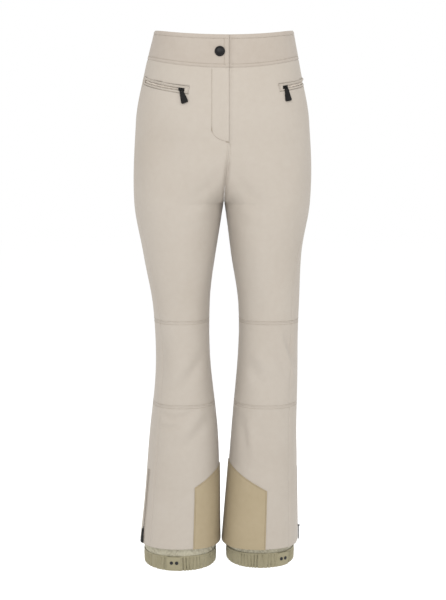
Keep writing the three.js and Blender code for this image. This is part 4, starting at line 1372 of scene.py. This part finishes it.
@dataclass
class Fly:
    """Placket, its J-shaped stitch line, the zip behind it and the shield."""

    maker: Maker
    zip_depth: float = 8.0
    placket_thickness: float = 2.2
    shield_half: float = 14.0
    shield_gap: float = 1.0
    shield_thickness: float = 1.6
    turn_from_z: float = -206.0
    turn_to_z: float = -120.0

    def build(self) -> None:
        """Makes the fly."""
        self.make_placket()
        self.make_stitches()
        self.make_zip()

    def fold_open(self, piece: Object) -> Object:
        """Bakes a piece's transform into place."""
        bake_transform(piece)
        return piece

    def make_placket(self) -> None:
        """Makes the cloth between the free edge and the stitch line."""
        w = self.maker.wardrobe
        placket = Patch(RIGHT, under_band, level(FLY_BOTTOM_Z + 0.3), RIGHT.start_angle, RIGHT.fly_line,
                        (FOLDED, STITCH_LINE, PLAIN_EDGE, FLAT_EDGE), thickness=self.placket_thickness,
                        coarse=3.0, level_below=FLY_BOTTOM_Z + FLY_CURVE_HEIGHT + 4,
                        extra_levels=fly_levels())
        piece = self.fold_open(placket.sew("fly_placket_cloth", [w.shell, w.lining]))
        self.maker.stand_for(piece, "shell_fabric", "fly_placket")

    def make_stitches(self) -> None:
        """Sews the J-shaped line and its two bar tacks."""
        w = self.maker.wardrobe
        turns = np.radians(np.linspace(0, 84, 60))
        curve = FLY_BOTTOM_Z + FLY_CURVE_HEIGHT * (1 - np.sin(turns))
        z = np.concatenate([np.linspace(float(band_foot(90.0)) - 2, curve[0] + 1, 60), curve])
        points, normals = trail(RIGHT, RIGHT.fly_line(z), z, -0.1)
        j_line = thread_along("fly_j_stitches", points, normals, w.thread)
        self.fold_open(j_line)
        self.make_tack("fly_side_tack", RIGHT, FLY_WIDTH, FLY_BOTTOM_Z + FLY_CURVE_HEIGHT - 1, 7.0, True)
        self.make_tack("fly_foot_tack", RIGHT, 2.5, FLY_BOTTOM_Z - 1.5, 7.0, False)

    def make_tack(self, name: str, leg: Leg, distance: float, z: float, length: float, upright: bool) -> None:
        """Sews a dense bar tack.

        Args:
            name: Name of the piece.
            leg: Side that it is on.
            distance: Distance of its middle from the centre seam.
            z: Height of its middle.
            length: Length of the bar.
            upright: Whether it runs up the cloth or across it.
        """
        place = leg.frame(float(leg.angle_at(distance, z)), z)
        run, cross = (place.up, place.side) if upright else (place.side, place.up)
        steps = np.arange(-length / 2, length / 2, 0.5)[:, None]
        centres = place.origin + run * steps + place.out * 0.35
        ways = np.broadcast_to(cross, centres.shape)
        outs = np.broadcast_to(place.out, centres.shape)
        piece = capsules(name, centres, ways, outs, (1.1, 0.3, 0.3), self.maker.wardrobe.thread)
        self.maker.settle(piece, "root", "shell_fabric")

    def zip_line(self) -> Line:
        """Returns the straight line of the fly zip."""
        foot_z, head_z = FLY_BOTTOM_Z + 9, float(band_foot(90.0)) - 8
        ends = [RIGHT.bare(RIGHT.angle_at(SEAM_GAP / 2 + TAPE_HALF, z), z, -self.zip_depth)[0]
                for z in (foot_z, head_z)]
        middle_z = (foot_z + head_z) / 2
        angle = float(RIGHT.angle_at(SEAM_GAP / 2 + TAPE_HALF, middle_z))
        return Line(ends[0], ends[1], RIGHT.frame(angle, middle_z).out)

    def make_zip(self) -> None:
        """Makes the zip, its slider's finish and the cloth shield behind it."""
        w = self.maker.wardrobe
        line = self.zip_line()
        Zip(self.maker, "fly_zip", line, 0.0, line.length, "root").build()
        top = TAPE_TOP - TAPE_THICKNESS - self.shield_gap
        outline = bar(-self.shield_half, self.shield_half, top - self.shield_thickness, top, 0.7)
        frames = line.frames(np.linspace(-5.0, line.length + 10.0, 40))
        shield = sweep("fly_shield_cloth", outline, frames, [w.lining])
        self.maker.settle(shield, "root", "shell_fabric", "fly_shield")
        self.maker.dress_node("fly_slider", w.metal, 0.25)
        self.maker.dress_node("fly_pull", w.rubber, 0.4)


# ------------------------------------------------------------------ one side of the trousers
@dataclass
class Trouser:
    """Cloth panels, seams and scuff guard of one leg."""

    maker: Maker
    leg: Leg
    knee_stitch: float = 3.0
    guard_thickness: float = 1.2
    guard_lift: float = 0.4
    guard_back_angle: float = -62.0

    def build(self) -> None:
        """Makes the leg."""
        self.make_upper()
        self.make_lower()
        self.make_guard()
        self.make_stitches()

    def name(self, what: str) -> str:
        """Returns the name of a piece on this side."""
        return f"{self.leg.side}_{what}"

    def front_start(self, z: Array) -> Array:
        """Returns the front panel's inner edge: along the fly on the right, beneath it on the left."""
        if self.leg is LEFT:
            hidden = FLY_OVERLAP * smoothstep(FLY_BOTTOM_Z + 6, FLY_BOTTOM_Z + 30, z)
            return np.where(np.asarray(z) > FLY_BOTTOM_Z, self.leg.angle_at(BUTT / 2 - hidden, z),
                            self.leg.start_angle(z))
        return np.where(np.asarray(z) > FLY_BOTTOM_Z, self.leg.fly_line(z), self.leg.start_angle(z))

    def back_end(self, z: Array) -> Array:
        """Returns the back panels' inner edge."""
        return 360.0 - self.leg.start_angle(z)

    def make_upper(self) -> None:
        """Makes the front panel with its pocket opening, and the back panel."""
        w = self.maker.wardrobe
        shared = {"level_below": FLY_BOTTOM_Z + FLY_CURVE_HEIGHT + 4}
        inner = STITCH_LINE if self.leg is RIGHT else FLAT_EDGE
        levels = crotch_levels() + (fly_levels() if self.leg is RIGHT else ())
        front = Patch(self.leg, under_band, level(KNEE_TOP), self.front_start, self.leg.side_seam,
                      (inner, PLAIN_EDGE, PLAIN_EDGE, STITCHED), extra_levels=levels,
                      tuck=tuck_under_fly if self.leg is LEFT else None, drawn=centre_crease, **shared)
        piece = front.sew(self.name("front_panel_cloth"), [w.shell, w.lining])
        carve(piece, Pocket(self.maker, self.leg).opening())
        self.maker.settle(piece, "root", "shell_fabric", self.name("front_panel"))
        back = Patch(self.leg, under_band, level(KNEE_TOP), self.leg.side_seam, self.back_end,
                     (PLAIN_EDGE, PLAIN_EDGE, PLAIN_EDGE, STITCHED), extra_levels=crotch_levels(), **shared)
        piece = back.sew(self.name("back_panel_cloth"), [w.shell, w.lining])
        self.maker.settle(piece, "root", "shell_fabric", self.name("back_panel"))

    def make_lower(self) -> None:
        """Makes the knee panels and the shin panels."""
        w = self.maker.wardrobe
        hem = Edge(sunk=0.7, depth=1.4)
        rows = (("knee", KNEE_TOP, KNEE_FOOT, STITCHED), ("shin", KNEE_FOOT, HEM_Z, hem))
        for where, top, foot, low_edge in rows:
            for face, start, end in (("front", self.leg.start_angle, level(SIDE_SEAM_LEG)),
                                     ("back", level(SIDE_SEAM_LEG), self.back_end)):
                panel = Patch(self.leg, level(top), level(foot), start, end,
                              (PLAIN_EDGE, PLAIN_EDGE, STITCHED, low_edge))
                node = self.name(f"{where}_{face}")
                piece = panel.sew(f"{node}_cloth", [w.shell, w.lining])
                if where == "knee":
                    self.maker.bend(piece, self.leg, "shell_fabric", node)
                    continue
                if face == "back":
                    carve(piece, HemZip(self.maker, self.leg).opening())
                self.maker.settle(piece, self.leg.shin, "shell_fabric", node)

    def guard_top(self, angle: Array) -> Array:
        """Returns the height of the guard's sloping top edge."""
        plan = self.leg.guard
        edge = np.where(np.asarray(angle) > 0, plan.front_angle, self.guard_back_angle)
        share = (1 - np.cos(np.radians(angle))) / (1 - np.cos(np.radians(edge)))
        return plan.peak_z + (plan.corner_z - plan.peak_z) * share

    def make_guard(self) -> None:
        """Makes the scuff guard, sewn over both shin panels, and its stitches."""
        w = self.maker.wardrobe
        plan = self.leg.guard
        edge = Edge(2.2, 0.5, 0.8)
        guard = Patch(self.leg, self.guard_top, level(HEM_Z - 0.4), level(self.guard_back_angle),
                      level(plan.front_angle), (edge, edge, edge, Edge(sunk=0.4)),
                      self.guard_lift + self.guard_thickness, self.guard_thickness, 3.4, 0.08)
        piece = guard.sew(self.name("scuff_guard_cloth"), [w.guard, w.lining], "laid",
                          [self.name("shin_front_cloth"), self.name("shin_back_cloth")])
        self.maker.settle(piece, self.leg.shin, "guard_fabric", self.name("scuff_guard"))
        angle = np.linspace(self.guard_back_angle + 1.5, plan.front_angle - 1.5, 160)
        out = self.guard_lift + self.guard_thickness - 0.2
        line = trail(self.leg, angle, self.guard_top(angle) - 2.3, out)
        self.maker.stitch(self.name("guard_top_stitches"), line, self.leg.shin, w.guard_thread)
        for label, at, way in (("front", plan.front_angle, -1), ("back", self.guard_back_angle, 1)):
            z = np.linspace(float(self.guard_top(at)) - 3, HEM_Z + 3, 60)
            line = trail(self.leg, shifted(self.leg, np.full(60, at), z, way * 2.2), z, out)
            self.maker.stitch(self.name(f"guard_{label}_stitches"), line, self.leg.shin, w.guard_thread)

    def make_stitches(self) -> None:
        """Sews the rows beside the knee seams and the centre seam."""
        angle = np.linspace(1.0, 359.0, 240)
        rows = (("knee_top_upper", KNEE_TOP + self.knee_stitch, False),
                ("knee_top_lower", KNEE_TOP - self.knee_stitch, True),
                ("knee_foot_upper", KNEE_FOOT + self.knee_stitch, True),
                ("knee_foot_lower", KNEE_FOOT - self.knee_stitch, False))
        for name, z, bends in rows:
            points, normals = trail(self.leg, angle, z, -0.22)
            piece = thread_along(self.name(f"{name}_stitches"), points, normals, self.maker.wardrobe.thread)
            if bends:
                self.maker.bend(piece, self.leg, "shell_fabric")
            else:
                body = "root" if z > KNEE_Z else self.leg.shin
                self.maker.settle(piece, body, "shell_fabric")
        z = np.linspace(FLY_BOTTOM_Z - 5, CROTCH_Z + 12, 60)
        points, normals = trail(self.leg, self.leg.angle_at(3.2, z), z, -0.2)
        points[..., 1] += centre_crease(self.leg.bare(self.leg.angle_at(3.2, z), z)[0])
        self.maker.stitch(self.name("centre_seam_stitches"), (points, normals), "root")
        z = np.linspace(float(band_foot(270.0)) - 4, CROTCH_Z + 12, 90)
        back = 360.0 - self.leg.angle_at(3.2, z)
        self.maker.stitch(self.name("back_seam_stitches"), trail(self.leg, back, z, -0.2), "root")


@dataclass
class Pocket:
    """Welted pocket with its zip, bag, slider and pull."""

    maker: Maker
    leg: Leg
    welt_half: float = 7.2
    welt_depth: float = 2.4
    welt_proud: float = 0.8
    welt_end: float = 9.0
    welt_seam: float = 0.2
    bag_depth: float = 12.0
    bag_thickness: float = 3.0
    bag_length: float = 150.0

    @cached_property
    def arc(self) -> Arc:
        """Curve of the pocket opening."""
        plan = self.leg.pocket
        ends = ((plan.inner_angle, plan.inner_z),
                ((plan.inner_angle + plan.outer_angle) / 2, (plan.inner_z + plan.outer_z) / 2),
                (plan.outer_angle, plan.outer_z))
        return Arc(*(self.leg.bare(angle, z)[0] for angle, z in ends))

    def opening(self) -> Object:
        """Makes the cutter for the opening in the front panel."""
        margin, end = self.welt_half + self.welt_seam, self.welt_end + self.welt_seam
        frames = self.arc.frames(np.linspace(-end, self.arc.length + end, 24))
        return sweep("pocket_cutter", bar(-margin, margin, -8, 6), frames, [])

    def build(self) -> None:
        """Makes the pocket."""
        side, w = self.leg.side, self.maker.wardrobe
        arc = self.arc
        Zip(self.maker, f"{side}_pocket_zip", arc, -0.5, arc.length + 0.5, "root",
            tape_half=5.4, tape_top=-3.5).build()
        self.make_welt()
        self.make_bag()
        self.maker.dress_node(f"{side}_pocket_slider", w.metal, 0.25)
        self.maker.dress_node(f"{side}_pocket_pull", w.rubber, 0.5)

    def make_welt(self) -> None:
        """Makes the two cloth lips and the ends that join them, with their stitches."""
        side, w = self.leg.side, self.maker.wardrobe
        arc, end = self.arc, self.welt_end
        long = arc.frames(np.linspace(-end, arc.length + end, 60))
        bottom, top = -self.welt_depth, self.welt_proud
        for name, low, high in (("upper", SLOT_HALF, self.welt_half), ("lower", -self.welt_half, -SLOT_HALF)):
            lip = sweep(f"{side}_pocket_lip_{name}", bar(low, high, bottom, top, 1.1), long, [w.shell])
            self.maker.settle(lip, "root", "shell_fabric", f"{side}_pocket_welt")
            offset = (self.welt_half - 1.5) * (1 if name == "upper" else -1)
            row = arc.frames(np.linspace(1.5 - end, arc.length + end - 1.5, 80))
            line = row.origin + row.up * offset + row.out * (top - 0.05)
            self.maker.stitch(f"{side}_pocket_{name}_stitches", (line, row.out), "root")
        far = arc.length + end
        ends = (("inner", -end, -1.0, 1.6 - end), ("outer", arc.length + 1, far, far - 1.6))
        for name, start, stop, tick in ends:
            cap = sweep(f"{side}_pocket_end_{name}",
                        bar(-SLOT_HALF - 0.8, SLOT_HALF + 0.8, bottom, top - 0.15, 0.9),
                        arc.frames(np.linspace(start, stop, 8)), [w.shell])
            self.maker.settle(cap, "root", "shell_fabric")
            row = arc.frames(np.array([tick]))
            steps = np.linspace(1.6 - self.welt_half, self.welt_half - 1.6, 20)[:, None]
            line = row.origin + row.up * steps + row.out * (top - 0.05)
            outs = np.broadcast_to(row.out, line.shape)
            self.maker.stitch(f"{side}_pocket_{name}_end_stitches", (line, outs), "root")

    def make_bag(self) -> None:
        """Makes the pocket bag that hangs behind the front panel."""
        plan, w = self.leg.pocket, self.maker.wardrobe
        top = plan.inner_z + 10
        edge = Edge(5.0, 0.9, 1.6)
        bag = Patch(self.leg, level(top), level(top - self.bag_length), level(plan.inner_angle - 4),
                    level(plan.outer_angle - 2), (edge, edge, edge, edge), -self.bag_depth,
                    self.bag_thickness, 5.0)
        piece = bag.sew(f"{self.leg.side}_pocket_bag_cloth", [w.lining])
        self.maker.settle(piece, "root", "lining_fabric", f"{self.leg.side}_pocket_bag")


@dataclass
class HemZip:
    """Zip that opens the hem on the outside of one leg."""

    maker: Maker
    leg: Leg
    length: float = 155.0
    foot: float = 8.0

    @cached_property
    def line(self) -> Line:
        """Straight line of the zip, level with the middle of its stretch of cloth."""
        angle = self.leg.hem_zip_angle
        foot = self.leg.bare(angle, HEM_Z + self.foot)[0]
        head = self.leg.bare(angle, HEM_Z + self.length)[0]
        lift = self.leg.bare(angle, HEM_Z + self.length / 2)[0] - (foot + head) / 2
        return Line(foot + lift, head + lift, self.leg.frame(angle, HEM_Z + self.length / 2).out)

    def opening(self) -> Object:
        """Makes the cutter for the slit in the cloth."""
        frames = self.line.frames(np.linspace(-1, self.line.length + 1, 3))
        return sweep("hem_cutter", bar(-SLOT_HALF, SLOT_HALF, -8, 6), frames, [])

    def build(self) -> None:
        """Makes the zip, the piped edges of its slit and their stitches."""
        side, w, line = self.leg.side, self.maker.wardrobe, self.line
        Zip(self.maker, f"{side}_hem_zip", line, 0.0, line.length, self.leg.shin,
            tape_half=5.4, tape_top=-3.6).build()
        frames = line.frames(np.linspace(-1, line.length + 1, 30))
        for name, way in (("front", 1), ("back", -1)):
            low, high = sorted((way * SLOT_HALF, way * (SLOT_HALF + 1.8)))
            piping = sweep(f"{side}_hem_piping_{name}", bar(low, high, -2.0, 0.55, 0.85), frames, [w.shell])
            self.maker.settle(piping, self.leg.shin, "shell_fabric")
            row = frames.origin + frames.up * way * (SLOT_HALF + 4.5)
            self.maker.stitch(f"{side}_hem_{name}_stitches", (row, frames.out), self.leg.shin)
        self.maker.dress_node(f"{side}_hem_slider", w.metal, 0.25)
        self.maker.dress_node(f"{side}_hem_pull", w.rubber, 0.5)


@dataclass
class Gaiter:
    """Crinkled skirt and gathered elastic cuff inside the hem, with its snapped tab."""

    maker: Maker
    leg: Leg
    skirt_inset: float = 8.5
    skirt_thickness: float = 1.0
    skirt_hidden: float = 32.0
    cuff_height: float = 26.0
    cuff_inset: float = 8.6
    front_dip: float = 4.0
    seam_overlap: float = 3.0
    cuff_thickness: float = 1.6
    tab_lift: float = 2.4
    tab_thickness: float = 1.2
    sewn_length: float = 5.0
    sewn_depth: float = 3.0
    snap_radius: float = 3.5
    snap_pitch: float = 11.0

    @property
    def cuff_top(self) -> float:
        """Height of the cuff's top edge."""
        return HEM_Z - self.leg.skirt_shown

    @property
    def cuff_foot(self) -> float:
        """Height of the cuff's lower edge."""
        return self.cuff_top - self.cuff_height

    def dip(self, angle: Array) -> Array:
        """Returns how much lower the cuff's edge hangs in front than at the sides."""
        return self.front_dip * np.maximum(0.0, np.sin(np.radians(angle))) ** 2

    def build(self) -> None:
        """Makes the gaiter."""
        self.make_skirt()
        self.make_cuff()
        self.make_tab()

    def ring(self, name: str, z: Array, out: Array, thickness: float, material: Material, node: str) -> None:
        """Makes a gathered ring of cloth.

        Args:
            name: Name of the piece.
            z: Heights from the top down, as a column or one for each point.
            out: Distance out of the leg's surface at each point.
            thickness: Thickness of the cloth.
            material: Its finish.
            node: Solid of the model that it stands for.
        """
        angle = np.linspace(0, 360, out.shape[1], endpoint=False)[None, :]
        outer = self.leg.bare(angle, z, out)[0]
        inner = self.leg.bare(angle, z, out - thickness)[0]
        piece = shell(name, outer, inner, [material], ring=True)
        slot = "gaiter_nylon" if "skirt" in node else "gaiter_elastic"
        self.maker.settle(piece, self.leg.shin, slot, node)

    def make_skirt(self) -> None:
        """Makes the crinkled skirt, crushed more and more towards the cuff."""
        z = np.linspace(HEM_Z + self.skirt_hidden, self.cuff_top - self.seam_overlap, 28)[:, None]
        turn = np.radians(np.linspace(0, 360, 420, endpoint=False))[None, :]
        low = smoothstep(HEM_Z + 16, self.cuff_top, z)
        crush = np.sin(turn * 41 + 1.6 * np.sin(turn * 7 + z / 5.0)) * 0.7
        crush = crush + np.sin(turn * 67 + 2.0 * np.sin(turn * 5) + z / 2.6) * 0.45
        crush = crush + np.sin(turn * 23 - z / 3.4 + np.sin(turn * 11)) * 0.55
        free = smoothstep(self.cuff_top + 0.5, self.cuff_top + 4.0, z)
        out = -self.skirt_inset - 0.9 + crush * (0.25 + 0.85 * low) * free + 0.9 * np.sin(np.pi * low) * low
        out = out - 0.4 * (1 - free)
        self.ring(f"{self.leg.side}_gaiter_skirt_cloth", z, out, self.skirt_thickness,
                  self.maker.wardrobe.gaiter, f"{self.leg.side}_gaiter_skirt")

    def make_cuff(self) -> None:
        """Makes the cuff with its ruches, drawn in along two elastic rows."""
        z = np.linspace(self.cuff_top, self.cuff_foot, 34)[:, None]
        turn = np.radians(np.linspace(0, 360, 540, endpoint=False))[None, :]
        down = (self.cuff_top - z) / self.cuff_height
        phase = turn * 58 + 1.8 * np.sin(turn * 9 + 1.0) + 1.1 * np.sin(turn * 17 + down * 2.0)
        valley = 1 - np.abs(np.sin(phase / 2)) ** 0.6
        drawn = np.exp(-(((down - 0.3) / 0.07) ** 2)) + np.exp(-(((down - 0.7) / 0.07) ** 2))
        frill = np.exp(-down / 0.09) + np.exp(-(1 - down) / 0.09)
        uneven = 1 + 0.35 * np.sin(turn * 5 + 0.6) + 0.25 * np.sin(turn * 13 + down * 3)
        strength = (1 - 0.3 * np.minimum(drawn, 1) + 0.25 * frill) * uneven * smoothstep(0.02, 0.2, down)
        out = -self.cuff_inset + 0.7 - 2.9 * valley * strength + 0.5 * np.sin(np.pi * down) - 0.35 * drawn
        z = z - self.dip(np.degrees(turn)) * down
        self.ring(f"{self.leg.side}_gaiter_cuff_cloth", z, out, self.cuff_thickness,
                  self.maker.wardrobe.elastic, f"{self.leg.side}_gaiter_cuff")

    def sewn_end(self, points: Array) -> Array:
        """Returns how far the tab sinks to the cuff at the end where it is sewn on."""
        seam = self.leg.bare(self.leg.tab_inner, points[..., 2])[0]
        gap = np.linalg.norm(points - seam, axis=-1)
        return -self.sewn_depth * (1 - smoothstep(0.0, self.sewn_length, gap))

    def make_tab(self) -> None:
        """Makes the flat tab, sewn down at its inner end, with its two snaps."""
        side, w = self.leg.side, self.maker.wardrobe
        edge = Edge(2.4, 0.4, 0.7)
        tab = Patch(self.leg, level(self.cuff_top - 1), lambda a: self.cuff_foot + 1 - self.dip(a),
                    level(self.leg.tab_inner), level(self.leg.tab_outer), (edge, edge, edge, edge),
                    self.tab_lift + self.tab_thickness - self.cuff_inset, self.tab_thickness, 1.6, 0.05)
        piece = replace(tab, tuck=self.sewn_end).sew(f"{side}_gaiter_tab_cloth", [w.elastic])
        z = (self.cuff_top + self.cuff_foot) / 2
        hinge = self.leg.frame(self.leg.tab_inner, z, self.tab_lift - self.cuff_inset)
        way = self.leg.frame(self.leg.tab_outer, z, self.tab_lift - self.cuff_inset).origin - hinge.origin
        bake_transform(piece)
        self.maker.stand_for(piece, "gaiter_elastic", f"{side}_gaiter_tab")
        middle = (self.leg.tab_inner + self.leg.tab_outer) / 2
        reach = np.linalg.norm(self.leg.bare(middle - 0.5, z)[0] - self.leg.bare(middle + 0.5, z)[0])
        r = self.snap_radius
        profile = ((0, 0), (r - 0.2, 0), (r, 0.3), (r - 0.1, 0.8), (r - 0.5, 1.15), (r - 0.9, 1.1),
                   (r - 1.2, 0.95), (r * 0.4, 1.4), (0, 1.5))
        for label, place in (("inner", -0.5), ("outer", 0.5)):
            out = self.tab_lift + self.tab_thickness + 0.2 - self.cuff_inset
            spot = self.leg.frame(middle + place * self.snap_pitch / reach, z, out)
            cap = turned(f"{side}_gaiter_cap_{label}_metal", profile, spot, w.gunmetal)
            self.maker.settle(cap, f"{side}_gaiter_tab", "gunmetal", f"{side}_gaiter_cap_{label}")
            self.maker.dress_node(f"{side}_gaiter_stud_{label}", w.gunmetal, 0.1)


# ------------------------------------------------------------------ studio
@dataclass
class Studio:
    """White floor, soft light and the camera."""

    floor_drop: float = 0.3
    camera_place: tuple[float, float, float] = (-0.002, -3.0, -0.184)
    camera_pitch: float = 6.654
    lens: float = 90.0

    def build(self) -> None:
        """Makes the studio."""
        self.make_floor()
        self.make_world()
        self.make_light("key", (-0.5, -1.75, 0.8), 0.9, 14.5)
        self.make_light("fill", (0.9, -1.8, 0.7), 1.2, 12.0)
        self.make_light("back", (0.4, 2.4, 0.7), 1.6, 20.0)
        self.make_camera()

    def make_floor(self) -> None:
        """Makes the pale floor below the hanging garment."""
        tree = Tree("floor_white")
        tree.shader.inputs["Base Color"].default_value = (1.0, 1.0, 1.0, 1.0)
        tree.shader.inputs["Roughness"].default_value = 1.0
        tree.shader.inputs["Specular IOR Level"].default_value = 0.0
        low = CAD_BOUNDS[0][2] - self.floor_drop
        mesh = bpy.data.meshes.new("floor")
        corners = [(-12, -12, low), (12, -12, low), (12, 12, low), (-12, 12, low)]
        mesh.from_pydata(corners, [], [(0, 1, 2, 3)])
        mesh.materials.append(tree.material)
        floor = bpy.data.objects.new("floor", mesh)
        bpy.context.scene.collection.objects.link(floor)

    @staticmethod
    def make_world() -> None:
        """Makes an even white surround."""
        world = bpy.data.worlds.new("studio")
        world.use_nodes = True
        ground = world.node_tree.nodes["Background"]
        ground.inputs["Color"].default_value = (1.0, 1.0, 1.0, 1.0)
        ground.inputs["Strength"].default_value = 1.0
        bpy.context.scene.world = world
        bpy.context.scene.view_settings.view_transform = "Standard"

    @staticmethod
    def make_light(name: str, place: tuple[float, float, float], size: float, power: float) -> None:
        """Makes a square softbox that faces the garment's middle."""
        light = bpy.data.lights.new(name, "AREA")
        light.size = size
        light.energy = power
        box = bpy.data.objects.new(name, light)
        box.location = place
        box.rotation_euler = (Vector((0, 0, -0.5)) - Vector(place)).to_track_quat("-Z", "Y").to_euler()
        bpy.context.scene.collection.objects.link(box)

    def make_camera(self) -> None:
        """Makes the camera, which looks slightly down at the garment's front."""
        lens = bpy.data.cameras.new("camera")
        lens.lens = self.lens
        lens.sensor_width = 36.0
        camera = bpy.data.objects.new("camera", lens)
        camera.location = self.camera_place
        camera.rotation_euler = (math.radians(90 - self.camera_pitch), 0, 0)
        bpy.context.scene.collection.objects.link(camera)
        bpy.context.scene.camera = camera


def main() -> None:
    """Builds the trousers and the studio."""
    logging.basicConfig(level=logging.INFO, format="%(message)s")
    Studio().build()
    maker = Maker(Wardrobe())
    DRAPE.still = tuple(HemZip(maker, leg).line for leg in (RIGHT, LEFT))
    Waist(maker).build()
    Fly(maker).build()
    for leg in (RIGHT, LEFT):
        Trouser(maker, leg).build()
        Pocket(maker, leg).build()
        HemZip(maker, leg).build()
        Gaiter(maker, leg).build()


if __name__ == "__main__":
    main()
